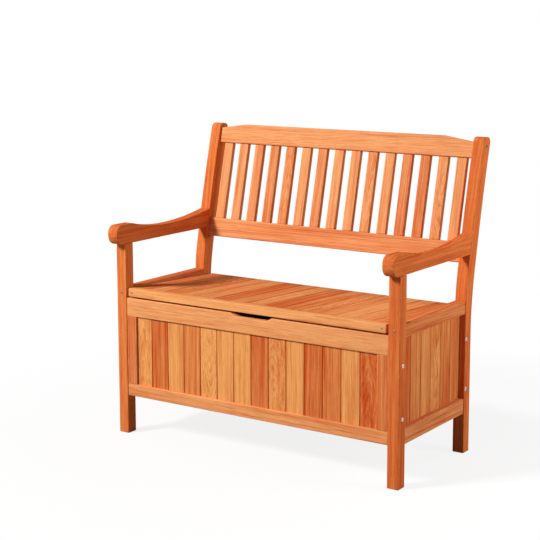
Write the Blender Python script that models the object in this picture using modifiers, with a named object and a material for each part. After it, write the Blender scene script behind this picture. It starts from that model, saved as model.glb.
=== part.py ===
"""Garden storage bench: a slatted-back wooden bench whose seat is the hinged lid of a box.

Metres, +Z up. The bench faces -Y and stands on z = 0, centred on x = 0. Inside the script, y = 0 is the
front face of the front legs; one empty shifts everything so that the origin is the centre of the footprint.
"""

import math

import bmesh
import bpy
from mathutils import Matrix, Vector

MM = 0.001

# Clearances
SEAT_GAP = 0.3 * MM        # between two pieces that touch on the real bench
RUNNING_GAP = 0.3 * MM     # round a pin, a stud or a rod that turns or slides
LID_SIDE_GAP = 8 * MM      # lid to leg, each side
LID_FRONT_GAP = 5.4 * MM   # front panel's top edge to the lid's underside, lid closed
BACK_RAIL_SETBACK = 8 * MM  # back rails behind the front of the posts

# Overall sizes
WIDTH = 1000 * MM
LEG = 36 * MM              # legs are square in section, and the arms are as wide
REAR_LEG_FRONT = 396 * MM  # front face of the rear legs
HEIGHT = 938 * MM
EASE = 1.5 * MM            # planed-off edge of a wooden member

# Rear posts: upright, then swept back in two curves
POST_DEPTH = 44 * MM
POST_KNEE_START = 450 * MM
POST_KNEE_END = 530 * MM
POST_KNEE_SLOPE = 0.19
POST_TOP_SLOPE = 0.27
POST_CORNER = 16 * MM
POST_STEPS = 10

# Armrests
ARM_UNDERSIDE = 600 * MM
ARM_THICKNESS = 60 * MM
ARM_OVERHANG = 38.5 * MM
ARM_HUMP = 40 * MM         # where the flat top of the nose ends
ARM_LOW_AT = 212 * MM      # lowest point of the top
ARM_DIP = 22.5 * MM
ARM_NOSE_LOWER = 28 * MM
ARM_NOSE_UPPER = 24 * MM
ARM_EASE = 2.5 * MM
ARM_STEPS = 6

# Back rest
BACK_RAIL_THICKNESS = 22 * MM
BACK_BOTTOM_RAIL_UNDERSIDE = 573 * MM
BACK_BOTTOM_RAIL_WIDTH = 59 * MM
BACK_TOP_RAIL_WIDTH = 61 * MM
BACK_TOP_RAIL_DROP = 14 * MM   # how far its sloping ends fall
BACK_TOP_RAIL_SLOPE = 96 * MM  # length of each sloping end
BACK_TOP_RAIL_BEND = 120 * MM
SLAT_COUNT = 15
SLAT_WIDTH = 33 * MM
SLAT_END_GAP = 19 * MM         # end slat to post
SLAT_THICKNESS = 15 * MM
SLAT_SETBACK = 5 * MM      # slats behind the front of the rails

# Box panels: framed boards between the legs
PANEL_SETBACK = 2 * MM
RAIL_THICKNESS = 22 * MM
STILE_WIDTH = 36 * MM
STILE_THICKNESS = 32 * MM
BOARD_THICKNESS = 10 * MM
BOARD_SETBACK = 6 * MM
GROOVE_DEPTH = 8 * MM
JOINT_HALF_WIDTH = 1.0 * MM
JOINT_DEPTH = 1.2 * MM
PANEL_UNDERSIDE = 122.5 * MM
BOTTOM_RAIL_WIDTH = 38.5 * MM
FRONT_PANEL_TOP = 432 * MM
FRONT_TOP_RAIL_WIDTH = 56 * MM
REAR_PANEL_TOP = 412 * MM
REAR_TOP_RAIL_WIDTH = 35 * MM
LONG_BOARD_COUNT = 14
END_BOARD_SHARE = 0.92     # the end boards are cut narrower than the others

# Finger cut-out in the top edge of the front panel
CUT_OUT_DEPTH = 10 * MM
CUT_OUT_START = -72 * MM
CUT_OUT_FLOOR_START = -42 * MM
CUT_OUT_FLOOR_END = 58 * MM
CUT_OUT_END = 75 * MM
CUT_OUT_LONG_CURVE = 32 * MM
CUT_OUT_SHORT_CURVE = 8 * MM

# Side panels
SIDE_RAIL_THICKNESS = 34 * MM
SIDE_PANEL_TOP = 463 * MM
SIDE_TOP_RAIL_WIDTH = 38 * MM
SIDE_BOTTOM_RAIL_WIDTH = 45.5 * MM
SIDE_BOARD_SETBACK = 19 * MM
SIDE_BOARD_COUNT = 6

# Floor of the box
FLOOR_THICKNESS = 9 * MM
FLOOR_UNDERSIDE = 132 * MM
FLOOR_TONGUE_STOP = 24 * MM  # where the front tongue ends, short of the legs

# Hinges
HINGE_FROM_LID_END = 144 * MM
HINGE_WIDTH = 50 * MM
HINGE_MIDDLE_KNUCKLE = 24 * MM
HINGE_KNUCKLE_RADIUS = 3.5 * MM
HINGE_PIN_RADIUS = 1.6 * MM
HINGE_PIN_HEAD_RADIUS = 2.6 * MM
HINGE_PIN_HEAD = 1.2 * MM
HINGE_LEAF_THICKNESS = 1.5 * MM
HINGE_LEAF_LENGTH = 20 * MM
HINGE_OVER_RAIL = 2.5 * MM  # pin's axis above the rear panel
HINGE_BEHIND_LEGS = 6 * MM  # pin's axis behind the rear legs, clear of the lid's rear edge

# Lid, in its own frame: pin's axis at the origin, front towards -Y
LID_UNDERSIDE = 2.5 * MM   # above the pin's axis
LID_THICKNESS = 25.6 * MM
LID_NOSE = 28 * MM
LID_BOARD_THICKNESS = 11.5 * MM
LID_BOARD_COUNT = 15
LID_STILE_WIDTH = 58 * MM
LID_FRONT_MEMBER = 31 * MM
LID_REAR_RAIL_WIDTH = 72 * MM
LID_BATTEN_WIDTH = 33 * MM
LID_BATTEN_BACKSET = 3 * MM  # batten behind the middle of the lid's open field
LID_OPENING = math.radians(69)  # its boards then stand just clear of the back's bottom rail

# Gas stays
STAY_FROM_LEG = 24 * MM
STAY_FOOT_Y = 85 * MM
STAY_FOOT_BELOW_RAIL = 30 * MM
STAY_HEAD_FORWARD = 98.6 * MM  # head pivot in the lid's frame
STAY_HEAD_BELOW = 11.5 * MM
STAY_EYE_RADIUS = 8 * MM
STAY_EYE_THICKNESS = 8 * MM
STAY_EYE_NECK = 14 * MM
STAY_TUBE_RADIUS = 7.2 * MM
STAY_TUBE_WALL = 1.4 * MM
STAY_GLAND = 9 * MM
STAY_ROD_RADIUS = 3 * MM
STAY_PISTON = 8 * MM
STAY_PISTON_CLEARANCE = 12 * MM  # piston above the chamber's floor, lid closed
STAY_SPARE_STROKE = 42 * MM      # piston below the gland, lid open
STAY_FOOT_STUD_RADIUS = 4 * MM
STAY_HEAD_STUD_RADIUS = 3 * MM
BRACKET_THICKNESS = 2.5 * MM
BRACKET_WIDTH = 26 * MM
BRACKET_LAP = 30 * MM      # length screwed to the wood
BRACKET_MARGIN = 9 * MM    # metal beyond a stud's axis

# Facets and tolerances
ROUND_SIDES = 24
SMOOTH_ANGLE = math.radians(35)  # edges sharper than this are seen, and are planed off
FLAT_ANGLE = math.radians(0.05)
WELD = 0.005 * MM
EMPTY_SIZE = 50 * MM

# What follows from the sizes above
LEG_INNER = WIDTH / 2 - LEG
REAR_LEG_BACK = REAR_LEG_FRONT + LEG
PANEL_END = LEG_INNER - SEAT_GAP
STILE_INNER = PANEL_END - STILE_WIDTH
BOTTOM_RAIL_TOP = PANEL_UNDERSIDE + BOTTOM_RAIL_WIDTH
FRONT_TOP_RAIL_LOW = FRONT_PANEL_TOP - FRONT_TOP_RAIL_WIDTH
REAR_TOP_RAIL_LOW = REAR_PANEL_TOP - REAR_TOP_RAIL_WIDTH
SIDE_TOP_RAIL_LOW = SIDE_PANEL_TOP - SIDE_TOP_RAIL_WIDTH
SIDE_BOTTOM_RAIL_TOP = PANEL_UNDERSIDE + SIDE_BOTTOM_RAIL_WIDTH
SIDE_RAIL_OUTER = WIDTH / 2 - PANEL_SETBACK
SIDE_RAIL_INNER = SIDE_RAIL_OUTER - SIDE_RAIL_THICKNESS
HINGE_AXIS_Y = REAR_LEG_BACK + HINGE_BEHIND_LEGS
HINGE_AXIS_Z = REAR_PANEL_TOP + HINGE_OVER_RAIL
LID_HALF = LEG_INNER - LID_SIDE_GAP
LID_TILT = math.atan2(FRONT_PANEL_TOP + LID_FRONT_GAP - HINGE_AXIS_Z - LID_UNDERSIDE, HINGE_AXIS_Y)
HINGE_X = LID_HALF - HINGE_FROM_LID_END
STAY_X = LEG_INNER - STAY_FROM_LEG
STAY_FOOT_Z = SIDE_TOP_RAIL_LOW - STAY_FOOT_BELOW_RAIL

LIGHT_WOOD = ((0.78, 0.36, 0.11), 0.45, 0.0)
WOOD = ((0.69, 0.27, 0.08), 0.45, 0.0)
DARK_WOOD = ((0.56, 0.19, 0.06), 0.48, 0.0)
STEEL = ((0.62, 0.62, 0.64), 0.32, 1.0)
DARK_STEEL = ((0.20, 0.20, 0.21), 0.38, 1.0)

SIDES = (("left", -1), ("right", 1))


def clear_scene():
    """Remove whatever the opened file holds."""
    for obj in list(bpy.data.objects):
        bpy.data.objects.remove(obj, do_unlink=True)


def new_collection(name):
    """Make a collection under the scene's own."""
    collection = bpy.data.collections.new(name)
    bpy.context.scene.collection.children.link(collection)
    return collection


clear_scene()
PARTS = new_collection("garden_storage_bench")
CUTTERS = new_collection("cutters")


def move_to(obj, collection):
    """Keep an object in one collection only."""
    for owner in list(obj.users_collection):
        owner.objects.unlink(obj)
    collection.objects.link(obj)


def new_empty(name, location, parent=None, turn_x=0.0):
    """Add an empty that places what is parented to it."""
    empty = bpy.data.objects.new(name, None)
    empty.empty_display_size = EMPTY_SIZE
    empty.location = location
    empty.rotation_euler = (turn_x, 0.0, 0.0)
    empty.parent = parent
    PARTS.objects.link(empty)
    return empty


def give_material(obj, finish):
    """Give an object its own Principled material."""
    colour, roughness, metallic = finish
    material = bpy.data.materials.new(obj.name)
    material.use_nodes = True
    shader = material.node_tree.nodes["Principled BSDF"]
    shader.inputs["Base Color"].default_value = (*colour, 1.0)
    shader.inputs["Roughness"].default_value = roughness
    shader.inputs["Metallic"].default_value = metallic
    material.diffuse_color = (*colour, 1.0)
    obj.data.materials.clear()
    obj.data.materials.append(material)


def as_cutter(obj):
    """Turn an object into a shape that only cuts or joins."""
    obj.hide_render = True
    obj.display_type = "WIRE"
    move_to(obj, CUTTERS)
    return obj


def place(obj, parent, finish):
    """Parent a finished object and put it where it belongs: with the parts, or with the cutters."""
    obj.parent = parent
    if finish is None:
        return as_cutter(obj)
    move_to(obj, PARTS)
    give_material(obj, finish)
    return obj


def ease_edges(obj, width):
    """Plane off the sharp edges of a member."""
    if width > 0:
        bevel = obj.modifiers.new("eased edges", "BEVEL")
        bevel.width = width
        bevel.segments = 1
        bevel.limit_method = "ANGLE"
        bevel.angle_limit = SMOOTH_ANGLE
    return obj


def box(name, low, high, parent, finish=None, ease=0.0):
    """Add a box between two corners. Without a finish it is a cutter."""
    low, high = Vector(low), Vector(high)
    bpy.ops.mesh.primitive_cube_add(size=1.0, location=(low + high) / 2)
    obj = bpy.context.active_object
    obj.name = name
    obj.data.transform(Matrix.Diagonal((*(high - low), 1.0)))
    ease_edges(obj, ease)
    return place(obj, parent, finish)


def cylinder(name, radius, start, end, parent, finish=None):
    """Add a cylinder between the centres of its two ends. Without a finish it is a cutter."""
    start, end = Vector(start), Vector(end)
    bpy.ops.mesh.primitive_cylinder_add(
        vertices=ROUND_SIDES,
        radius=radius,
        depth=(end - start).length,
        location=(start + end) / 2,
    )
    obj = bpy.context.active_object
    obj.name = name
    obj.rotation_euler = (end - start).to_track_quat("Z", "Y").to_euler()
    obj.data.shade_smooth()
    obj.data.set_sharp_from_angle(angle=SMOOTH_ANGLE)
    return place(obj, parent, finish)


def prism(name, outline, across, low, high, parent, finish=None, ease=0.0):
    """Extrude a flat outline.

    across is the axis that it is extruded along: X for an outline in (y, z), Y for one in (x, z)
    and Z for one in (x, y).
    """
    turns = {
        "X": Matrix(((0, 0, 1), (1, 0, 0), (0, 1, 0))),
        "Y": Matrix(((1, 0, 0), (0, 0, -1), (0, 1, 0))),
        "Z": Matrix.Identity(3),
    }
    curve = bpy.data.curves.new(name + " outline", "CURVE")
    curve.dimensions = "2D"
    curve.fill_mode = "BOTH"
    curve.extrude = (high - low) / 2
    spline = curve.splines.new("POLY")
    spline.points.add(len(outline) - 1)
    for point, (first, second) in zip(spline.points, outline):
        point.co = (first, second, 0.0, 1.0)
    spline.use_cyclic_u = True
    drawn = bpy.data.objects.new(name + " outline", curve)
    CUTTERS.objects.link(drawn)
    bpy.context.view_layer.update()
    graph = bpy.context.evaluated_depsgraph_get()
    mesh = bpy.data.meshes.new_from_object(drawn.evaluated_get(graph))
    bpy.data.objects.remove(drawn, do_unlink=True)
    shape = bmesh.new()
    shape.from_mesh(mesh)
    bmesh.ops.remove_doubles(shape, verts=shape.verts, dist=WELD)
    bmesh.ops.dissolve_limit(
        shape, angle_limit=FLAT_ANGLE, verts=shape.verts, edges=shape.edges
    )
    bmesh.ops.recalc_face_normals(shape, faces=shape.faces)
    shape.to_mesh(mesh)
    shape.free()
    obj = bpy.data.objects.new(name, mesh)
    PARTS.objects.link(obj)
    turn = turns[across]
    middle = -(low + high) / 2 if across == "Y" else (low + high) / 2
    obj.rotation_euler = turn.to_euler()
    obj.location = turn @ Vector((0.0, 0.0, middle))
    mesh.shade_smooth()
    mesh.set_sharp_from_angle(angle=SMOOTH_ANGLE)
    ease_edges(obj, ease)
    return place(obj, parent, finish)


def turned(name, profile, parent, finish):
    """Turn a profile of (radius, distance along Y) round its parent's Y axis."""
    mesh = bpy.data.meshes.new(name)
    edges = [(i, i + 1) for i in range(len(profile) - 1)]
    mesh.from_pydata([(radius, 0.0, along) for radius, along in profile], edges, [])
    obj = bpy.data.objects.new(name, mesh)
    PARTS.objects.link(obj)
    obj.rotation_euler = (-math.pi / 2, 0.0, 0.0)
    screw = obj.modifiers.new("turning", "SCREW")
    screw.steps = ROUND_SIDES
    screw.render_steps = ROUND_SIDES
    screw.use_merge_vertices = True
    screw.merge_threshold = WELD
    return place(obj, parent, finish)


def combine(obj, tool, operation):
    """Cut an object with a tool, or join the tool's shape to it."""
    boolean = obj.modifiers.new(tool.name, "BOOLEAN")
    boolean.operation = operation
    boolean.solver = "EXACT"
    boolean.object = tool
    return obj


def cut(obj, tool):
    """Take the tool's shape out of an object."""
    return combine(obj, tool, "DIFFERENCE")


def join(obj, tool):
    """Add the tool's shape to an object."""
    return combine(obj, tool, "UNION")


def rounded(corners, steps=ARM_STEPS):
    """Replace each (a, b, radius) corner of an outline by an arc."""
    outline = []
    count = len(corners)
    for index, (first, second, radius) in enumerate(corners):
        here = Vector((first, second))
        if radius <= 0:
            outline.append((first, second))
            continue
        before = (Vector(corners[index - 1][:2]) - here).normalized()
        after = (Vector(corners[(index + 1) % count][:2]) - here).normalized()
        half = before.angle(after) / 2
        centre = here + (before + after).normalized() * (radius / math.sin(half))
        start = here + before * (radius / math.tan(half)) - centre
        end = here + after * (radius / math.tan(half)) - centre
        sweep = math.atan2(start.cross(end), start.dot(end))
        for step in range(steps + 1):
            angle = sweep * step / steps
            turned_by = Matrix.Rotation(angle, 2)
            point = centre + turned_by @ start
            outline.append((point.x, point.y))
    return outline


def post_front(z):
    """Front face of a rear post: how far back it stands at height z."""
    if z <= POST_KNEE_START:
        return REAR_LEG_FRONT
    knee = POST_KNEE_END - POST_KNEE_START
    if z <= POST_KNEE_END:
        return REAR_LEG_FRONT + POST_KNEE_SLOPE * (z - POST_KNEE_START) ** 2 / (2 * knee)
    rise = z - POST_KNEE_END
    sweep = (POST_TOP_SLOPE - POST_KNEE_SLOPE) / (HEIGHT - POST_KNEE_END)
    return REAR_LEG_FRONT + POST_KNEE_SLOPE * (knee / 2 + rise) + sweep * rise**2 / 2


def post_back(z):
    """Rear face of a rear post. Its curve starts lower than the front's, so the knee is stout."""
    at_knee = post_front(POST_KNEE_END) + POST_DEPTH
    run = 2 * (at_knee - REAR_LEG_BACK) / POST_KNEE_SLOPE
    start = POST_KNEE_END - run
    if z <= start:
        return REAR_LEG_BACK
    if z <= POST_KNEE_END:
        return REAR_LEG_BACK + POST_KNEE_SLOPE * (z - start) ** 2 / (2 * run)
    return post_front(z) + POST_DEPTH


def post_outline():
    """Side view of a rear leg and post, as (y, z)."""
    bend = POST_KNEE_END - POST_KNEE_START
    start = POST_KNEE_START - bend
    heights = [start + (HEIGHT - start) * step / POST_STEPS for step in range(POST_STEPS + 1)]
    front = [(post_front(z), z, 0.0) for z in heights]
    back = [(post_back(z), z, 0.0) for z in heights]
    front[-1] = (*front[-1][:2], POST_CORNER)
    back[-1] = (*back[-1][:2], POST_CORNER)
    feet = [(REAR_LEG_BACK, 0.0, 0.0), (REAR_LEG_FRONT, 0.0, 0.0)]
    return rounded(front + back[::-1] + feet)


POST_OUTLINE = post_outline()
FOOTPRINT_FRONT = -ARM_OVERHANG
FOOTPRINT_BACK = max(y for y, z in POST_OUTLINE)
BENCH = new_empty("bench_origin", (0.0, -(FOOTPRINT_FRONT + FOOTPRINT_BACK) / 2, 0.0))


def mirrored(side, inner, outer):
    """Order two distances from the middle as low and high x on one side of the bench."""
    return (inner, outer) if side > 0 else (-outer, -inner)


def make_legs():
    """Front legs carry the arms; each rear leg is one piece with the post of the back."""
    for side_name, side in SIDES:
        low_x, high_x = mirrored(side, LEG_INNER, WIDTH / 2)
        front_top = ARM_UNDERSIDE - SEAT_GAP
        box("front_leg_" + side_name, (low_x, 0, 0), (high_x, LEG, front_top), BENCH, WOOD, EASE)
        prism("rear_leg_" + side_name, POST_OUTLINE, "X", low_x, high_x, BENCH, WOOD, EASE)


def arm_top(y):
    """Top of an armrest: it dips between its nose and the post."""
    rear = post_front(ARM_UNDERSIDE + ARM_THICKNESS)
    reach = ARM_LOW_AT - ARM_HUMP if y < ARM_LOW_AT else rear - ARM_LOW_AT
    fall = ARM_DIP * (1 - ((y - ARM_LOW_AT) / reach) ** 2)
    return ARM_UNDERSIDE + ARM_THICKNESS - fall


def make_armrests():
    """Armrests lie on the front legs and butt against the posts."""
    top = ARM_UNDERSIDE + ARM_THICKNESS
    rear_top = post_front(top) - SEAT_GAP
    rear_bottom = post_front(ARM_UNDERSIDE) - SEAT_GAP
    count = 2 * ARM_STEPS
    stations = [ARM_HUMP + (rear_top - ARM_HUMP) * step / count for step in range(count + 1)]
    corners = [
        (rear_bottom, ARM_UNDERSIDE, 0.0),
        (rear_top, arm_top(rear_top), 0.0),
        *[(y, arm_top(y), 0.0) for y in reversed(stations[:-1])],
        (-ARM_OVERHANG, top, ARM_NOSE_UPPER),
        (-ARM_OVERHANG, ARM_UNDERSIDE, ARM_NOSE_LOWER),
    ]
    for side_name, side in SIDES:
        low_x, high_x = mirrored(side, LEG_INNER, WIDTH / 2)
        prism("armrest_" + side_name, rounded(corners), "X", low_x, high_x, BENCH, WOOD, ARM_EASE)


def make_back():
    """Two rails between the posts and the slats between the rails, all leaning back alike."""
    low = BACK_BOTTOM_RAIL_UNDERSIDE + BACK_BOTTOM_RAIL_WIDTH / 2
    high = HEIGHT - BACK_TOP_RAIL_WIDTH / 2
    lean = math.atan((post_front(high) - post_front(low)) / (high - low))
    plane = new_empty("back_plane", (0, post_front(low), low), BENCH, turn_x=-lean)
    face = BACK_RAIL_SETBACK

    def along(z):
        """Distance up the lean at which the rails' front faces reach height z."""
        return (z - low + face * math.sin(lean)) / math.cos(lean)

    bottom = along(BACK_BOTTOM_RAIL_UNDERSIDE)
    top = along(BACK_BOTTOM_RAIL_UNDERSIDE + BACK_BOTTOM_RAIL_WIDTH)
    box(
        "back_bottom_rail",
        (-PANEL_END, face, bottom),
        (PANEL_END, face + BACK_RAIL_THICKNESS, top),
        plane,
        LIGHT_WOOD,
        EASE,
    )
    underside = along(HEIGHT - BACK_TOP_RAIL_WIDTH)
    flat_half = LEG_INNER - BACK_TOP_RAIL_SLOPE
    end_height = along(HEIGHT - BACK_TOP_RAIL_DROP)
    crown = [
        (-PANEL_END, underside, 0.0),
        (PANEL_END, underside, 0.0),
        (PANEL_END, end_height, 0.0),
        (flat_half, along(HEIGHT), BACK_TOP_RAIL_BEND),
        (-flat_half, along(HEIGHT), BACK_TOP_RAIL_BEND),
        (-PANEL_END, end_height, 0.0),
    ]
    rail_back = face + BACK_RAIL_THICKNESS
    prism("back_top_rail", rounded(crown), "Y", face, rail_back, plane, LIGHT_WOOD, EASE)
    slat_front = face + SLAT_SETBACK
    pitch = (2 * (LEG_INNER - SLAT_END_GAP) - SLAT_WIDTH) / (SLAT_COUNT - 1)
    for number, middle in enumerate(even_places(SLAT_COUNT, pitch)):
        box(
            f"back_slat_{number + 1:02d}",
            (middle - SLAT_WIDTH / 2, slat_front, top + SEAT_GAP),
            (middle + SLAT_WIDTH / 2, slat_front + SLAT_THICKNESS, underside - SEAT_GAP),
            plane,
            WOOD,
            EASE,
        )


def board_outline(start, end, seams, face, back):
    """End view of boards joined edge to edge, with a V along each joint on both faces."""
    near = [(start, face)]
    far = [(start, back)]
    inward = JOINT_DEPTH if back > face else -JOINT_DEPTH
    for seam in seams:
        for edge, line, depth in ((near, face, inward), (far, back, -inward)):
            edge.append((seam - JOINT_HALF_WIDTH, line))
            edge.append((seam, line + depth))
            edge.append((seam + JOINT_HALF_WIDTH, line))
    near.append((end, face))
    far.append((end, back))
    return near + far[::-1]


def even_places(count, pitch):
    """Places a pitch apart, centred on the bench."""
    return [(number - (count - 1) / 2) * pitch for number in range(count)]


def long_board_seams():
    """Joints of the front and rear boards: all boards alike but for the narrower end ones."""
    shares = LONG_BOARD_COUNT - 2 + 2 * END_BOARD_SHARE
    return even_places(LONG_BOARD_COUNT - 1, 2 * STILE_INNER / shares)


def make_front_panel():
    """Front of the box: rails over stiles, with the boards in grooves, and the cut-out for fingers."""
    face, back = PANEL_SETBACK, PANEL_SETBACK + RAIL_THICKNESS
    board_face = face + BOARD_SETBACK
    board_back = board_face + BOARD_THICKNESS
    groove = (board_face - SEAT_GAP, board_back + SEAT_GAP)
    board_end = STILE_INNER + GROOVE_DEPTH - SEAT_GAP
    low, high = BOTTOM_RAIL_TOP, FRONT_TOP_RAIL_LOW

    top_rail = box(
        "front_top_rail",
        (-PANEL_END, face, high),
        (PANEL_END, back, FRONT_PANEL_TOP),
        BENCH,
        WOOD,
        EASE,
    )
    bottom_rail = box(
        "front_bottom_rail",
        (-PANEL_END, face, PANEL_UNDERSIDE),
        (PANEL_END, back, low),
        BENCH,
        WOOD,
        EASE,
    )
    groove_end = board_end + SEAT_GAP
    top_groove = box(
        "cut front top groove",
        (-groove_end, groove[0], high - GROOVE_DEPTH),
        (groove_end, groove[1], high + GROOVE_DEPTH),
        BENCH,
    )
    bottom_groove = box(
        "cut front bottom groove",
        (-groove_end, groove[0], low - GROOVE_DEPTH),
        (groove_end, groove[1], low + GROOVE_DEPTH),
        BENCH,
    )
    cut(top_rail, top_groove)
    cut(bottom_rail, bottom_groove)

    edge = FRONT_PANEL_TOP
    floor = edge - CUT_OUT_DEPTH
    above = edge + CUT_OUT_DEPTH
    hand_hole = [
        (CUT_OUT_START, edge, 0.0),
        (CUT_OUT_FLOOR_START, floor, CUT_OUT_LONG_CURVE),
        (CUT_OUT_FLOOR_END, floor, CUT_OUT_SHORT_CURVE),
        (CUT_OUT_END, edge, 0.0),
        (CUT_OUT_END, above, 0.0),
        (CUT_OUT_START, above, 0.0),
    ]
    cutter = prism("cut finger hole", rounded(hand_hole), "Y", -face, back + face, BENCH)
    cut(top_rail, cutter)

    for side_name, side in SIDES:
        low_x, high_x = mirrored(side, STILE_INNER, PANEL_END)
        stile = box(
            "front_stile_" + side_name,
            (low_x, face, low + SEAT_GAP),
            (high_x, face + STILE_THICKNESS, high - SEAT_GAP),
            BENCH,
            WOOD,
            EASE,
        )
        cut_low, cut_high = mirrored(side, STILE_INNER - GROOVE_DEPTH, groove_end)
        stile_groove = box(
            "cut front stile groove " + side_name,
            (cut_low, groove[0], low - GROOVE_DEPTH),
            (cut_high, groove[1], high + GROOVE_DEPTH),
            BENCH,
        )
        cut(stile, stile_groove)

    outline = board_outline(-board_end, board_end, long_board_seams(), board_face, board_back)
    tongue = GROOVE_DEPTH - SEAT_GAP
    prism("front_boards", outline, "Z", low - tongue, high + tongue, BENCH, LIGHT_WOOD)
    return bottom_rail


def make_rear_panel():
    """Rear of the box: rails between stiles, with the boards in grooves."""
    rail_end = STILE_INNER - SEAT_GAP
    back = REAR_LEG_BACK - PANEL_SETBACK
    face = back - RAIL_THICKNESS
    board_back = back - BOARD_SETBACK
    board_face = board_back - BOARD_THICKNESS
    groove = (board_face - SEAT_GAP, board_back + SEAT_GAP)
    board_end = STILE_INNER + GROOVE_DEPTH - SEAT_GAP
    low, high = BOTTOM_RAIL_TOP, REAR_TOP_RAIL_LOW

    top_rail = box(
        "rear_top_rail",
        (-rail_end, face, high),
        (rail_end, back, REAR_PANEL_TOP),
        BENCH,
        LIGHT_WOOD,
        EASE,
    )
    bottom_rail = box(
        "rear_bottom_rail",
        (-rail_end, face, PANEL_UNDERSIDE),
        (rail_end, back, low),
        BENCH,
        LIGHT_WOOD,
        EASE,
    )
    groove_end = board_end + SEAT_GAP
    top_groove = box(
        "cut rear top groove",
        (-groove_end, groove[0], high - GROOVE_DEPTH),
        (groove_end, groove[1], high + GROOVE_DEPTH),
        BENCH,
    )
    bottom_groove = box(
        "cut rear bottom groove",
        (-groove_end, groove[0], low - GROOVE_DEPTH),
        (groove_end, groove[1], low + GROOVE_DEPTH),
        BENCH,
    )
    cut(top_rail, top_groove)
    cut(bottom_rail, bottom_groove)

    for side_name, side in SIDES:
        low_x, high_x = mirrored(side, STILE_INNER, PANEL_END)
        stile = box(
            "rear_stile_" + side_name,
            (low_x, back - STILE_THICKNESS, PANEL_UNDERSIDE),
            (high_x, back, REAR_PANEL_TOP),
            BENCH,
            DARK_WOOD,
            EASE,
        )
        cut_low, cut_high = mirrored(side, STILE_INNER - GROOVE_DEPTH, groove_end)
        stile_groove = box(
            "cut rear stile groove " + side_name,
            (cut_low, groove[0], low - GROOVE_DEPTH),
            (cut_high, groove[1], high + GROOVE_DEPTH),
            BENCH,
        )
        cut(stile, stile_groove)

    outline = board_outline(-board_end, board_end, long_board_seams(), board_back, board_face)
    tongue = GROOVE_DEPTH - SEAT_GAP
    prism("rear_boards", outline, "Z", low - tongue, high + tongue, BENCH, WOOD)
    return bottom_rail


def make_side_panels():
    """Ends of the box: thick rails between the legs, with boards set well back in grooves."""
    front, back = LEG + SEAT_GAP, REAR_LEG_FRONT - SEAT_GAP
    board_outer = WIDTH / 2 - SIDE_BOARD_SETBACK
    board_inner = board_outer - BOARD_THICKNESS
    low, high = SIDE_BOTTOM_RAIL_TOP, SIDE_TOP_RAIL_LOW
    tongue = GROOVE_DEPTH - SEAT_GAP
    clear_width = REAR_LEG_FRONT - LEG
    seams = [
        LEG + clear_width * number / SIDE_BOARD_COUNT for number in range(1, SIDE_BOARD_COUNT)
    ]
    bottom_rails = []
    for side_name, side in SIDES:
        low_x, high_x = mirrored(side, SIDE_RAIL_INNER, SIDE_RAIL_OUTER)
        top_rail = box(
            "side_top_rail_" + side_name,
            (low_x, front, high),
            (high_x, back, SIDE_PANEL_TOP),
            BENCH,
            WOOD,
            EASE,
        )
        bottom_rail = box(
            "side_bottom_rail_" + side_name,
            (low_x, front, PANEL_UNDERSIDE),
            (high_x, back, low),
            BENCH,
            WOOD,
            EASE,
        )
        cut_low, cut_high = mirrored(side, board_inner - SEAT_GAP, board_outer + SEAT_GAP)
        for rail, edge, label in ((top_rail, high, "top"), (bottom_rail, low, "bottom")):
            groove = box(
                f"cut side {label} groove {side_name}",
                (cut_low, front - GROOVE_DEPTH, edge - GROOVE_DEPTH),
                (cut_high, back + GROOVE_DEPTH, edge + GROOVE_DEPTH),
                BENCH,
            )
            cut(rail, groove)
        outline = board_outline(front, back, seams, side * board_outer, side * board_inner)
        outline = [(x, y) for y, x in outline]
        prism(
            "side_boards_" + side_name, outline, "Z", low - tongue, high + tongue, BENCH, LIGHT_WOOD
        )
        bottom_rails.append(bottom_rail)
    return bottom_rails


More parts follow.
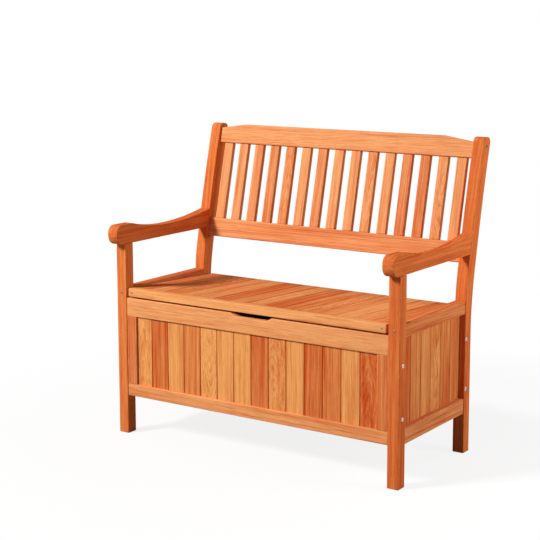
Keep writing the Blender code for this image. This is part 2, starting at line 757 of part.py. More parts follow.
def make_floor(front_rail, rear_rail, side_rails):
    """Floor panel, housed in a groove along the inner face of all four bottom rails."""
    rail_inner = PANEL_SETBACK + RAIL_THICKNESS
    rear_inner = REAR_LEG_BACK - PANEL_SETBACK - RAIL_THICKNESS
    stile_face = REAR_LEG_BACK - PANEL_SETBACK - STILE_THICKNESS
    reach = GROOVE_DEPTH - SEAT_GAP
    clear_of_legs = min(SIDE_RAIL_INNER, LEG_INNER) - SEAT_GAP
    clear_of_stiles = STILE_INNER - SEAT_GAP
    tongue_end = LEG_INNER - FLOOR_TONGUE_STOP
    half = [
        (tongue_end, rail_inner - reach),
        (tongue_end, rail_inner + SEAT_GAP),
        (clear_of_legs, rail_inner + SEAT_GAP),
        (clear_of_legs, LEG + SEAT_GAP),
        (SIDE_RAIL_INNER + reach, LEG + SEAT_GAP),
        (SIDE_RAIL_INNER + reach, REAR_LEG_FRONT - SEAT_GAP),
        (clear_of_legs, REAR_LEG_FRONT - SEAT_GAP),
        (clear_of_legs, stile_face - SEAT_GAP),
        (clear_of_stiles, stile_face - SEAT_GAP),
        (clear_of_stiles, rear_inner + reach),
    ]
    outline = half + [(-x, y) for x, y in reversed(half)]
    top = FLOOR_UNDERSIDE + FLOOR_THICKNESS
    prism("floor_panel", outline, "Z", FLOOR_UNDERSIDE, top, BENCH, LIGHT_WOOD)

    low, high = FLOOR_UNDERSIDE - SEAT_GAP, top + SEAT_GAP
    front_end = tongue_end + SEAT_GAP
    front_groove = box(
        "cut front floor groove",
        (-front_end, rail_inner - GROOVE_DEPTH, low),
        (front_end, rail_inner + GROOVE_DEPTH, high),
        BENCH,
    )
    cut(front_rail, front_groove)
    rear_groove = box(
        "cut rear floor groove",
        (-WIDTH / 2, rear_inner - GROOVE_DEPTH, low),
        (WIDTH / 2, rear_inner + GROOVE_DEPTH, high),
        BENCH,
    )
    cut(rear_rail, rear_groove)
    for rail, (side_name, side) in zip(side_rails, SIDES):
        inner, outer = SIDE_RAIL_INNER - GROOVE_DEPTH, SIDE_RAIL_INNER + GROOVE_DEPTH
        low_x, high_x = mirrored(side, inner, outer)
        side_groove = box(
            "cut side floor groove " + side_name,
            (low_x, 0, low),
            (high_x, REAR_LEG_BACK, high),
            BENCH,
        )
        cut(rail, side_groove)


HINGE_LINE = new_empty("hinge_line", (0, HINGE_AXIS_Y, HINGE_AXIS_Z), BENCH)
LID = new_empty("lid_pivot", (0, HINGE_AXIS_Y, HINGE_AXIS_Z), BENCH, turn_x=-LID_TILT)


def make_lid():
    """Seat: boards from front to back behind a nosed front rail, over a frame of flat members."""
    low, high = LID_UNDERSIDE, LID_UNDERSIDE + LID_THICKNESS
    board_under = high - LID_BOARD_THICKNESS
    frame_top = board_under - SEAT_GAP
    front = -HINGE_AXIS_Y
    rail_back = front + LID_NOSE
    member_back = rail_back + LID_FRONT_MEMBER
    rear = -HINGE_BEHIND_LEGS
    inner = LID_HALF - LID_STILE_WIDTH - SEAT_GAP

    front_rail = box(
        "lid_front_rail",
        (-LID_HALF, front, low),
        (LID_HALF, rail_back, high),
        LID,
        LIGHT_WOOD,
        EASE,
    )
    member = box(
        "join lid front member",
        (-inner, rail_back - LID_NOSE / 2, low),
        (inner, member_back, frame_top),
        LID,
    )
    join(front_rail, member)

    seams = even_places(LID_BOARD_COUNT - 1, 2 * LID_HALF / LID_BOARD_COUNT)
    outline = board_outline(-LID_HALF, LID_HALF, seams, high, board_under)
    prism("lid_boards", outline, "Y", rail_back + SEAT_GAP, rear, LID, WOOD)

    for side_name, side in SIDES:
        low_x, high_x = mirrored(side, LID_HALF - LID_STILE_WIDTH, LID_HALF)
        box(
            "lid_stile_" + side_name,
            (low_x, rail_back + SEAT_GAP, low),
            (high_x, rear, frame_top),
            LID,
            DARK_WOOD,
            EASE,
        )
    rear_front = rear - LID_REAR_RAIL_WIDTH
    box("lid_rear_rail", (-inner, rear_front, low), (inner, rear, frame_top), LID, WOOD, EASE)
    batten = (member_back + rear_front) / 2 + LID_BATTEN_BACKSET
    box(
        "lid_batten",
        (-inner, batten - LID_BATTEN_WIDTH / 2, low),
        (inner, batten + LID_BATTEN_WIDTH / 2, frame_top),
        LID,
        LIGHT_WOOD,
        EASE,
    )


def make_leaf(name, middle, parent, plate_low, knuckles):
    """One leaf of a butt hinge: a plate that reaches forward from its knuckles."""
    bore = HINGE_PIN_RADIUS + RUNNING_GAP
    near = HINGE_KNUCKLE_RADIUS + RUNNING_GAP
    tuck = (bore + HINGE_KNUCKLE_RADIUS) / 2
    leaf = box(
        name,
        (middle - HINGE_WIDTH / 2, -HINGE_LEAF_LENGTH, plate_low),
        (middle + HINGE_WIDTH / 2, -near, plate_low + HINGE_LEAF_THICKNESS),
        parent,
        STEEL,
    )
    for number, (start, end) in enumerate(knuckles):
        bar = box(
            f"join {name} neck {number}",
            (start, -near - tuck, plate_low),
            (end, -tuck, plate_low + HINGE_LEAF_THICKNESS),
            parent,
        )
        join(leaf, bar)
        knuckle = cylinder(
            f"join {name} knuckle {number}", HINGE_KNUCKLE_RADIUS, (start, 0, 0), (end, 0, 0), parent
        )
        join(leaf, knuckle)
    hole = cylinder(
        f"cut {name} bore",
        bore,
        (middle - HINGE_WIDTH, 0, 0),
        (middle + HINGE_WIDTH, 0, 0),
        parent,
    )
    cut(leaf, hole)


def make_hinges():
    """Two butt hinges: one leaf lies on the rear panel, the other under the lid."""
    half_middle = HINGE_MIDDLE_KNUCKLE / 2
    for side_name, side in SIDES:
        middle = side * HINGE_X
        outer = HINGE_WIDTH / 2
        frame_knuckle = [(middle - half_middle, middle + half_middle)]
        lid_knuckles = [
            (middle - outer, middle - half_middle - RUNNING_GAP),
            (middle + half_middle + RUNNING_GAP, middle + outer),
        ]
        under = -HINGE_OVER_RAIL + SEAT_GAP
        make_leaf("hinge_leaf_frame_" + side_name, middle, HINGE_LINE, under, frame_knuckle)
        over = LID_UNDERSIDE - SEAT_GAP - HINGE_LEAF_THICKNESS
        make_leaf("hinge_leaf_lid_" + side_name, middle, LID, over, lid_knuckles)
        end = outer + RUNNING_GAP
        pin = cylinder(
            "hinge_pin_" + side_name,
            HINGE_PIN_RADIUS,
            (middle - end - HINGE_PIN_HEAD, 0, 0),
            (middle + end + HINGE_PIN_HEAD, 0, 0),
            HINGE_LINE,
            DARK_STEEL,
        )
        for place_name, sign in (("inner", -1), ("outer", 1)):
            near = middle + sign * end
            head = cylinder(
                f"join hinge pin {side_name} {place_name} head",
                HINGE_PIN_HEAD_RADIUS,
                (near, 0, 0),
                (near + sign * HINGE_PIN_HEAD, 0, 0),
                HINGE_LINE,
            )
            join(pin, head)


def stay_layout():
    """Closed and open length of a stay, and how it stands with the lid closed."""
    foot = Vector((STAY_FOOT_Y, STAY_FOOT_Z))
    axis = Vector((HINGE_AXIS_Y, HINGE_AXIS_Z))
    head_local = Vector((-STAY_HEAD_FORWARD, -STAY_HEAD_BELOW))
    closed = axis + Matrix.Rotation(-LID_TILT, 2) @ head_local
    opened = axis + Matrix.Rotation(-LID_TILT - LID_OPENING, 2) @ head_local
    along = closed - foot
    return closed, along.length, (opened - foot).length, math.atan2(along.y, along.x)


def make_eye(obj, name, centre, parent, neck_end, neck_radius):
    """Join a flat eye and its neck to the end of a rod or tube that lies along Y."""
    half = STAY_EYE_THICKNESS / 2
    neck = cylinder(f"join {name} neck", neck_radius, (0, centre, 0), (0, neck_end, 0), parent)
    join(obj, neck)
    eye = cylinder(
        f"join {name} eye", STAY_EYE_RADIUS, (-half, centre, 0), (half, centre, 0), parent
    )
    join(obj, eye)


def tube_profile(bottom, chamber_floor, mouth):
    """Half section of a stay's tube, as (radius, distance along the stay)."""
    chamber_radius = STAY_TUBE_RADIUS - STAY_TUBE_WALL
    gland_radius = STAY_ROD_RADIUS + RUNNING_GAP
    return [
        (0.0, chamber_floor),
        (chamber_radius, chamber_floor),
        (chamber_radius, mouth - STAY_GLAND),
        (gland_radius, mouth - STAY_GLAND),
        (gland_radius, mouth),
        (STAY_TUBE_RADIUS - STAY_TUBE_WALL / 2, mouth),
        (STAY_TUBE_RADIUS, mouth - STAY_TUBE_WALL / 2),
        (STAY_TUBE_RADIUS, bottom + STAY_TUBE_WALL),
        (STAY_TUBE_RADIUS - STAY_TUBE_WALL, bottom),
        (0.0, bottom),
    ]


def make_stays():
    """Gas stays: tube pivoted on the frame at its foot, rod pivoted on the lid at its head.

    The tube is as long as the rod's stroke needs.
    """
    head, closed_length, open_length, angle = stay_layout()
    foot_y = -closed_length
    bottom = foot_y + STAY_EYE_NECK
    chamber_floor = bottom + STAY_EYE_RADIUS
    piston_low = chamber_floor + STAY_PISTON_CLEARANCE
    piston_high = piston_low + STAY_PISTON
    gland_low = piston_high + open_length - closed_length + STAY_SPARE_STROKE
    profile = tube_profile(bottom, chamber_floor, gland_low + STAY_GLAND)
    for side_name, side in SIDES:
        pivot = new_empty(
            "stay_head_pivot_" + side_name, (side * STAY_X, head.x, head.y), BENCH, turn_x=angle
        )
        tube = turned("stay_tube_" + side_name, profile, pivot, DARK_STEEL)
        neck_end = bottom + STAY_TUBE_WALL
        make_eye(tube, "stay tube " + side_name, foot_y, pivot, neck_end, STAY_FOOT_STUD_RADIUS)

        rod = cylinder(
            "stay_rod_" + side_name,
            STAY_ROD_RADIUS,
            (0, (piston_low + piston_high) / 2, 0),
            (0, -STAY_EYE_RADIUS, 0),
            pivot,
            STEEL,
        )
        piston = cylinder(
            "join stay piston " + side_name,
            STAY_TUBE_RADIUS - STAY_TUBE_WALL - RUNNING_GAP,
            (0, piston_low, 0),
            (0, piston_high, 0),
            pivot,
        )
        join(rod, piston)
        make_eye(rod, "stay rod " + side_name, 0.0, pivot, -STAY_EYE_NECK, STAY_FOOT_STUD_RADIUS)
        eye_hole = cylinder(
            "cut stay rod eye " + side_name,
            STAY_HEAD_STUD_RADIUS + RUNNING_GAP,
            (-STAY_EYE_THICKNESS, 0, 0),
            (STAY_EYE_THICKNESS, 0, 0),
            pivot,
        )
        cut(rod, eye_hole)
        make_foot(side_name, side)
        make_head(side_name, side)


def make_foot(side_name, side):
    """Lower bracket: a plate on the side rail's inner face with a stud beside the tube's eye."""
    plate_outer = SIDE_RAIL_INNER - SEAT_GAP
    low_x, high_x = mirrored(side, plate_outer - BRACKET_THICKNESS, plate_outer)
    top = SIDE_TOP_RAIL_LOW + BRACKET_LAP
    half = BRACKET_WIDTH / 2
    foot = box(
        "stay_foot_" + side_name,
        (low_x, STAY_FOOT_Y - half, STAY_FOOT_Z - BRACKET_MARGIN),
        (high_x, STAY_FOOT_Y + half, top),
        BENCH,
        STEEL,
    )
    stud_end = side * (STAY_X + STAY_EYE_THICKNESS / 2 + SEAT_GAP)
    stud = cylinder(
        "join stay foot stud " + side_name,
        STAY_FOOT_STUD_RADIUS,
        (side * (plate_outer - BRACKET_THICKNESS / 2), STAY_FOOT_Y, STAY_FOOT_Z),
        (stud_end, STAY_FOOT_Y, STAY_FOOT_Z),
        BENCH,
    )
    join(foot, stud)


def make_head(side_name, side):
    """Upper bracket: an angle under the lid with a stud through the rod's eye."""
    half_eye = STAY_EYE_THICKNESS / 2
    ear_inner = STAY_X + half_eye + SEAT_GAP
    ear_outer = ear_inner + BRACKET_THICKNESS
    plate_top = LID_UNDERSIDE - SEAT_GAP
    plate_low = plate_top - BRACKET_THICKNESS
    middle = -STAY_HEAD_FORWARD
    half = BRACKET_WIDTH / 2
    low_x, high_x = mirrored(side, ear_outer - BRACKET_LAP, ear_outer)
    head = box(
        "stay_head_" + side_name,
        (low_x, middle - half, plate_low),
        (high_x, middle + half, plate_top),
        LID,
        STEEL,
    )
    low_x, high_x = mirrored(side, ear_inner, ear_outer)
    ear = box(
        "join stay head ear " + side_name,
        (low_x, middle - half, -STAY_HEAD_BELOW - BRACKET_MARGIN),
        (high_x, middle + half, plate_top),
        LID,
    )
    join(head, ear)
    stud = cylinder(
        "join stay head stud " + side_name,
        STAY_HEAD_STUD_RADIUS,
        (side * (ear_inner + BRACKET_THICKNESS / 2), middle, -STAY_HEAD_BELOW),
        (side * (STAY_X - half_eye - RUNNING_GAP), middle, -STAY_HEAD_BELOW),
        LID,
    )
    join(head, stud)


make_legs()
make_armrests()
make_back()
make_floor(make_front_panel(), make_rear_panel(), make_side_panels())
make_lid()
make_hinges()
make_stays()
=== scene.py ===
"""Looks of the garden storage bench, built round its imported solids.

Every piece of wood is made again with softened edges, its own grain and its own tone, and each panel
from its separate boards. Bolts, screws and the lid's liner are added. The stays and hinges keep their
packed places. Metres, +Z up, the bench faces -Y.
"""

import logging
import math
import random
from collections.abc import Callable, Iterable, Sequence
from dataclasses import dataclass, field
from enum import Enum
from functools import cache

import bmesh
import bpy
from mathutils import Matrix, Vector


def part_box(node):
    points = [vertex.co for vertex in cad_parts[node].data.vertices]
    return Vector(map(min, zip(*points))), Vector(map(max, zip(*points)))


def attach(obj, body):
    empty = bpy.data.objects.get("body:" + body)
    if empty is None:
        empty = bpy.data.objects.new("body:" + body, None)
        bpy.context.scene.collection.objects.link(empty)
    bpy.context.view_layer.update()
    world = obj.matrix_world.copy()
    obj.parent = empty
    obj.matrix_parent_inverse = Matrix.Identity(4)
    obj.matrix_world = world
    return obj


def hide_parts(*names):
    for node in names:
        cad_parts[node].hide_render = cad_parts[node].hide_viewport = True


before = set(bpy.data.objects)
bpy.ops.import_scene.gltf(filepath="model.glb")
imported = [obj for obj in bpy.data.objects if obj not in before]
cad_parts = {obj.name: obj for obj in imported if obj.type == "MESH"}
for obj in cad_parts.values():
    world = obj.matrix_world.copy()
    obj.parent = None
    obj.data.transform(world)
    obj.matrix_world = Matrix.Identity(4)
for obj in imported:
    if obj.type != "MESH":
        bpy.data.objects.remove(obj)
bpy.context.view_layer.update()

LOG = logging.getLogger("bench")
MM = 0.001
SIDES = (("left", -1), ("right", 1))
UP = Vector((0, 0, 1))
FORWARD = Vector((0, -1, 0))

Pair = tuple[float, float]
Colour = tuple[float, float, float]
Corner = tuple[float, float, float]
Box = tuple[Vector, Vector]
Rule = Callable[[Vector], Vector]
Shape = bmesh.types.BMesh
Face = bmesh.types.BMFace
Point = bmesh.types.BMVert
Socket = bpy.types.NodeSocket

WHITE = (1.0, 1.0, 1.0)
MEAN = 0.5  # of noise, which runs from 0 to 1
COARSE, MEDIUM, FINE = 1.0, 2.0, 3.0  # layers of detail in noise
CIRCLE = 0.5  # profile of a bevel that is part of a circle


class Axis(Enum):
    """A direction of the bench: along it, from front to back, or up."""

    X = 0
    Y = 1
    Z = 2


class Tone(Enum):
    """How dark a board was picked, as a share of the way from the pale to the deep stain."""

    PALE = 0.05
    HONEY = 0.3
    AMBER = 0.5
    RUSSET = 0.72
    CHESTNUT = 0.93


class Figure(Enum):
    """How a board was sawn: least and most distance of the tree's heart below it, beside it, and the
    slope at which it runs out of the board."""

    STRAIGHT = ((0.012, 0.030), (0.050, 0.090), (0.01, 0.03))
    FLAMED = ((0.016, 0.034), (0.000, 0.012), (0.06, 0.14))


# Shader maths


class Value:
    """A number that varies over a surface, held by a socket, with Python's operators."""

    def __init__(self, nodes: "Nodes", socket: Socket) -> None:
        """Wrap a socket of a node tree."""
        self.nodes = nodes
        self.socket = socket

    def _maths(self, operation: str, *terms: "Value | float") -> "Value":
        """Add a Math node.

        Args:
            operation: its operation.
            terms: what it works on.

        Returns:
            Its result.
        """
        made = self.nodes.node("ShaderNodeMath", {"operation": operation}, dict(enumerate(terms)))
        return Value(self.nodes, made.outputs[0])

    def __add__(self, other: "Value | float") -> "Value":
        """Sum."""
        return self._maths("ADD", self, other)

    __radd__ = __add__

    def __sub__(self, other: "Value | float") -> "Value":
        """Difference."""
        return self._maths("SUBTRACT", self, other)

    def __rsub__(self, other: float) -> "Value":
        """Difference with the number first."""
        return self._maths("SUBTRACT", other, self)

    def __mul__(self, other: "Value | float") -> "Value":
        """Product."""
        return self._maths("MULTIPLY", self, other)

    __rmul__ = __mul__

    def __truediv__(self, other: "Value | float") -> "Value":
        """Quotient."""
        return self._maths("DIVIDE", self, other)

    def part(self) -> "Value":
        """What follows the decimal point."""
        return self._maths("FRACT", self)

    def held(self) -> "Value":
        """Held between 0 and 1."""
        return self._maths("MINIMUM", self._maths("MAXIMUM", self, 0.0), 1.0)

    def over(self, low: float, high: float) -> "Value":
        """Rise from 0 at low to 1 at high."""
        return ((self - low) / (high - low)).held()


class Nodes:
    """Nodes of a material or of the world."""

    NOISE_ROUGHNESS = 0.55

    def __init__(self, tree: bpy.types.NodeTree) -> None:
        """Work on a node tree."""
        self.tree = tree

    def node(self, kind: str, settings: dict | None = None, sockets: dict | None = None) -> bpy.types.Node:
        """Add one node.

        Args:
            kind: the node's type.
            settings: its own settings, set first; "stops" are a ramp's (place, colour) pairs.
            sockets: values or links by the socket's name or number.

        Returns:
            The node.
        """
        made = self.tree.nodes.new(kind)
        for setting, value in (settings or {}).items():
            if setting == "stops":
                self._set_stops(made.color_ramp, value)
            else:
                setattr(made, setting, value)
        for key, value in (sockets or {}).items():
            self.feed(made.inputs[key], value)
        return made

    @staticmethod
    def _set_stops(ramp: bpy.types.ColorRamp, stops: Sequence[tuple[float, Colour]]) -> None:
        """Give a ramp its stops.

        Args:
            ramp: the new ramp.
            stops: (place, colour) pairs from left to right.
        """
        between = 0.5
        while len(ramp.elements) < len(stops):
            ramp.elements.new(between)
        for element, (place, colour) in zip(ramp.elements, stops):
            element.position = place
            element.color = (*colour, 1.0)

    def feed(self, socket: Socket, value: object) -> None:
        """Feed one socket.

        Args:
            socket: the socket.
            value: what it is linked to, or the plain number or colour that it is set to.
        """
        if isinstance(value, Value):
            value = value.socket
        if isinstance(value, Socket):
            self.tree.links.new(value, socket)
        elif isinstance(value, tuple) and socket.type == "RGBA":
            socket.default_value = (*value, 1.0)
        else:
            socket.default_value = value

    def attribute(self, name: str) -> bpy.types.Node:
        """Read an attribute of the mesh."""
        return self.node("ShaderNodeAttribute", {"attribute_name": name})

    def scaled(self, vector: Socket, scale: Colour) -> Socket:
        """Multiply a vector by a different number along each axis."""
        made = self.node("ShaderNodeVectorMath", {"operation": "MULTIPLY"}, {0: vector, 1: scale})
        return made.outputs[0]

    def length(self, vector: Socket) -> Value:
        """Length of a vector."""
        made = self.node("ShaderNodeVectorMath", {"operation": "LENGTH"}, {0: vector})
        return Value(self, made.outputs["Value"])

    def noise(self, vector: Socket, cells: Colour, detail: float = MEDIUM) -> Value:
        """Add noise.

        Args:
            vector: the place that it is read at.
            cells: how many cells it has per metre on each axis.
            detail: how many finer layers it has.

        Returns:
            Its value, from 0 to 1.
        """
        made = self.node(
            "ShaderNodeTexNoise",
            {"noise_dimensions": "3D"},
            {
                "Vector": self.scaled(vector, cells),
                "Scale": 1.0,
                "Detail": detail,
                "Roughness": self.NOISE_ROUGHNESS,
            },
        )
        return Value(self, made.outputs[0])

    def blend(self, share: object, first: object, second: object, way: str = "MIX") -> Socket:
        """Mix two colours.

        Args:
            share: how far the second one comes in.
            first: the first colour.
            second: the second colour.
            way: the way that they are mixed.

        Returns:
            The mixed colour.
        """
        settings = {"data_type": "RGBA", "blend_type": way}
        return self.node("ShaderNodeMix", settings, {0: share, 6: first, 7: second}).outputs[2]

    def bump(self, height: Value, distance: float, strength: float) -> Socket:
        """Turn a height into a normal.

        Args:
            height: the height, from 0 to 1.
            distance: how far a height of 1 stands out.
            strength: how much of it shows.

        Returns:
            The normal.
        """
        sockets = {"Height": height, "Distance": distance, "Strength": strength}
        return self.node("ShaderNodeBump", None, sockets).outputs[0]


class Recipe(Nodes):
    """A material with its nodes and shader."""

    def __init__(self, name: str) -> None:
        """Start a material with its Principled shader.

        Args:
            name: the material's name.
        """
        self.material = bpy.data.materials.new(name)
        self.material.use_nodes = True
        super().__init__(self.material.node_tree)
        self.shader = self.tree.nodes["Principled BSDF"]
        self.output = self.tree.nodes["Material Output"]

    def place(self) -> Socket:
        """Place on the bench."""
        return self.node("ShaderNodeTexCoord").outputs["Object"]

    def set(self, **values: object) -> None:
        """Feed the shader's sockets, named with underscores for spaces."""
        for name, value in values.items():
            self.feed(self.shader.inputs[name.replace("_", " ")], value)


# Finishes


@dataclass(frozen=True)
class WoodFinish:
    """Stained and oiled softwood with a visible figure.

    Cells are a pattern's cells per metre along the grain, across it and into the board. An edge is
    where a pattern starts and is full, a tint what it multiplies the colour by, and a share how far.
    """

    slot: str
    pale: Colour
    deep: Colour
    ring: float = 4.6 * MM
    wander: float = 14 * MM
    gloss: float = 0.54
    wander_cells: Colour = (2.2, 14.0, 14.0)
    drift_cells: Colour = (0.8, 60.0, 60.0)
    drift_years: float = 2.2
    year: tuple[Pair, ...] = ((0.0, 0.10), (0.40, 0.16), (0.84, 1.0), (0.97, 0.06))
    year_tint: Colour = (0.73, 0.41, 0.24)
    year_share: Pair = (0.15, 0.75)
    streak_cells: Colour = (1.6, 105.0, 105.0)
    streak_stain: float = 1.6
    blotch_cells: Colour = (3.5, 13.0, 13.0)
    blotch_stain: float = 0.6
    fibre_cells: Colour = (9.0, 620.0, 620.0)
    fibre_edge: Pair = (0.42, 0.75)
    fibre_tint: Colour = (0.66, 0.45, 0.32)
    fibre_share: float = 0.7
    pore_cells: Colour = (60.0, 2100.0, 2100.0)
    pore_edge: Pair = (0.6, 0.72)
    pore_tint: Colour = (0.45, 0.26, 0.16)
    pore_share: float = 0.35
    rub_cells: Colour = (45.0, 120.0, 120.0)
    rub_edge: Pair = (0.45, 0.7)
    rub_share: float = 0.35
    # the seam tint and share darken the edges of boards in a row: gathered stain and painted shade in the
    # joints
    seam_stain_and_shade_tint: Colour = (0.60, 0.27, 0.16)
    seam_stain_and_shade_share: float = 0.6
    relief: Colour = (0.5, 0.6, 0.35)
    dulling: Colour = (0.16, 0.15, 0.12)
    bump: Pair = (0.25 * MM, 0.22)

    def make(self) -> bpy.types.Material:
        """Build the material: growth rings round the tree's heart, streaks, pores, rubbed edges, and joints
        darkened by gathered stain and painted shade.

        Returns:
            The material.
        """
        recipe = Recipe(self.slot)
        grain = recipe.attribute("grain").outputs["Vector"]
        tone = Value(recipe, recipe.attribute("tone").outputs["Fac"])
        wear = Value(recipe, recipe.attribute("wear").outputs["Fac"])
        late = self._late_wood(recipe, grain)
        streaks = recipe.noise(grain, self.streak_cells, FINE)
        blotches = recipe.noise(grain, self.blotch_cells)
        fibres = recipe.noise(grain, self.fibre_cells)
        pores = recipe.noise(grain, self.pore_cells, COARSE).over(*self.pore_edge)

        stain = tone + (streaks - MEAN) * self.streak_stain + (blotches - MEAN) * self.blotch_stain
        stained = recipe.blend(stain.held(), self.pale, self.deep)
        least, more = self.year_share
        ringed = recipe.blend(late * (least + more * streaks), stained, self.year_tint, "MULTIPLY")
        share = fibres.over(*self.fibre_edge) * self.fibre_share
        fibred = recipe.blend(share, ringed, self.fibre_tint, "MULTIPLY")
        porous = recipe.blend(pores * self.pore_share, fibred, self.pore_tint, "MULTIPLY")
        rubbed = wear.held() * recipe.noise(grain, self.rub_cells, FINE).over(*self.rub_edge)
        worn = recipe.blend(rubbed * self.rub_share, porous, self.pale)
        # painted shade and gathered stain along the joints, where the edge mark is below 0
        seam_stain_and_shade = (0 - wear).held()
        share = seam_stain_and_shade * seam_stain_and_shade * seam_stain_and_shade * self.seam_stain_and_shade_share

        height = fibres * self.relief[0] - pores * self.relief[1] - late * self.relief[2]
        uneven = (fibres - MEAN) * self.dulling[0] + pores * self.dulling[1] + rubbed * self.dulling[2]
        recipe.set(
            Base_Color=recipe.blend(share, worn, self.seam_stain_and_shade_tint, "MULTIPLY"),
            Roughness=(uneven + self.gloss).held(),
            Normal=recipe.bump(height, *self.bump),
            Specular_IOR_Level=0.0,
        )
        return recipe.material

    def _late_wood(self, recipe: Recipe, grain: Socket) -> Value:
        """Ring the tree with a dark line for each year.

        Args:
            recipe: the material.
            grain: place in the tree, along its heart, across and deep.

        Returns:
            1 in the year's late, dark wood and nearly 0 between.
        """
        wander = recipe.noise(grain, self.wander_cells) - MEAN
        place = recipe.node("ShaderNodeSeparateXYZ", None, {0: grain})
        across = Value(recipe, place.outputs[1]) + wander * self.wander
        depth = Value(recipe, place.outputs[2]) + wander * (self.wander / 2)
        flat = recipe.node("ShaderNodeCombineXYZ", None, {1: across, 2: depth}).outputs[0]
        years = recipe.length(flat) / self.ring
        years = years + recipe.noise(grain, self.drift_cells, COARSE) * self.drift_years
        stops = [(month, (grey, grey, grey)) for month, grey in self.year]
        ramp = recipe.node("ShaderNodeValToRGB", {"stops": stops}, {"Fac": years.part()})
        return Value(recipe, ramp.outputs["Color"])


@dataclass(frozen=True)
class MetalFinish:
    """Plated or painted steel with fine scratches and dulled patches."""

    slot: str
    colour: Colour
    metallic: float
    roughness: float
    patch_cells: Colour = (90.0, 90.0, 90.0)
    patch_edge: Pair = (0.35, 0.75)
    patch_shade: float = 0.62
    patch_dulling: float = 0.25
    scratch_cells: Colour = (2600.0, 240.0, 2600.0)
    scratch_dulling: float = 0.1
    bump: Pair = (0.05 * MM, 0.25)

    def make(self) -> bpy.types.Material:
        """Build the material on Object coordinates.

        Returns:
            The material.
        """
        recipe = Recipe(self.slot)
        place = recipe.place()
        dulled = recipe.noise(place, self.patch_cells, FINE)
        scratches = recipe.noise(place, self.scratch_cells)
        darker = tuple(part * self.patch_shade for part in self.colour)
        uneven = (dulled - MEAN) * self.patch_dulling + (scratches - MEAN) * self.scratch_dulling
        recipe.set(
            Base_Color=recipe.blend(dulled.over(*self.patch_edge), self.colour, darker),
            Metallic=self.metallic,
            Roughness=(uneven + self.roughness).held(),
            Normal=recipe.bump(scratches, *self.bump),
        )
        return recipe.material


@dataclass(frozen=True)
class LinerFinish:
    """Black non-woven cloth."""

    colour: Colour = (0.012, 0.012, 0.013)
    thread: float = 1.1 * MM
    dot_edge: Pair = (0.15, 0.45)
    fibre_cells: Colour = (500.0, 900.0, 500.0)
    fibre_shade: float = 2.6
    roughness: float = 0.75
    fibre_dulling: float = 0.3
    gloss: float = 0.25
    bump: Pair = (0.3 * MM, 0.5)

    def make(self) -> bpy.types.Material:
        """Build the material: pressed dots and loose fibres.

        Returns:
            The material.
        """
        recipe = Recipe("liner_cloth")
        place = recipe.place()
        sockets = {"Vector": place, "Scale": 1 / (2 * self.thread)}
        dots = recipe.node("ShaderNodeTexVoronoi", {"feature": "F1"}, sockets)
        pressed = Value(recipe, dots.outputs["Distance"]).over(*self.dot_edge)
        fibres = recipe.noise(place, self.fibre_cells, FINE)
        lighter = tuple(part * self.fibre_shade for part in self.colour)
        recipe.set(
            Base_Color=recipe.blend(fibres * pressed, self.colour, lighter),
            Roughness=((fibres - MEAN) * self.fibre_dulling + self.roughness).held(),
            Normal=recipe.bump(pressed + fibres, *self.bump),
            Specular_IOR_Level=self.gloss,
        )
        return recipe.material


Finish = WoodFinish | MetalFinish | LinerFinish

FRAME_WOOD = WoodFinish("frame_wood", (0.90, 0.300, 0.085), (0.66, 0.108, 0.026), wander=5 * MM)
BACK_WOOD = WoodFinish("back_wood", (0.94, 0.440, 0.190), (0.70, 0.145, 0.040), wander=5 * MM)
PANEL_WOOD = WoodFinish("panel_frame_wood", (0.95, 0.450, 0.180), (0.66, 0.125, 0.032), wander=4 * MM)
BOARD_WOOD = WoodFinish("board_wood", (0.94, 0.450, 0.150), (0.64, 0.100, 0.022))
LID_WOOD = WoodFinish("lid_wood", (0.95, 0.450, 0.170), (0.68, 0.112, 0.024))
PLATED = MetalFinish("plated_steel", (0.62, 0.63, 0.65), 1.0, 0.30)
PAINTED = MetalFinish("stay_steel", (0.035, 0.035, 0.038), 0.0, 0.38)
SCREW_STEEL = MetalFinish("screw_steel", (0.23, 0.245, 0.28), 1.0, 0.38)
DARK_BOLT = MetalFinish("dark_bolt_steel", (0.09, 0.085, 0.08), 1.0, 0.42)


@cache
def material_of(finish: Finish) -> bpy.types.Material:
    """Material of a finish, made the first time that it is asked for."""
    return finish.make()


# Making pieces


def turn_x(angle: float) -> Matrix:
    """Matrix that leans a piece back by an angle."""
    return Matrix.Rotation(-angle, 4, "X")


def along(axis: Axis, length: float) -> Vector:
    """Vector of some length along one axis."""
    return Vector([length if other is axis else 0.0 for other in Axis])


def reach(places: Iterable[Vector]) -> Box:
    """Lowest and highest corner of some places."""
    columns = list(zip(*places))
    return Vector(map(min, columns)), Vector(map(max, columns))


def shared_out(start: float, end: float, shares: Iterable[float]) -> list[float]:
    """Places at some shares of the way from a start to an end."""
    return [start + share * (end - start) for share in shares]


def node_points(node: str, lean: float) -> list[Vector]:
    """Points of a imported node, before it was leaned back by an angle."""
    upright = turn_x(-lean)
    return [upright @ vertex.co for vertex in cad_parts[node].data.vertices]


def node_box(node: str, lean: float) -> Box:
    """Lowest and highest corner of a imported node, before it was leaned back by an angle."""
    return reach(node_points(node, lean))


def lean_of(node: str, facing: Vector) -> float:
    """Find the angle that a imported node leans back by, from its largest face that looks one way.

    Args:
        node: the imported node's name.
        facing: the way that the face would look if the node stood straight.

    Returns:
        The angle.
    """
    nearly = 0.9
    faces = [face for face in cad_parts[node].data.polygons if face.normal.dot(facing) > nearly]
    normal = max(faces, key=lambda face: face.area).normal
    return math.atan2(normal.z, -normal.y) if facing.y < 0 else math.atan2(normal.y, normal.z)


def lid_lean() -> float:
    """Angle that the closed lid leans back by."""
    return lean_of("lid_boards", UP)


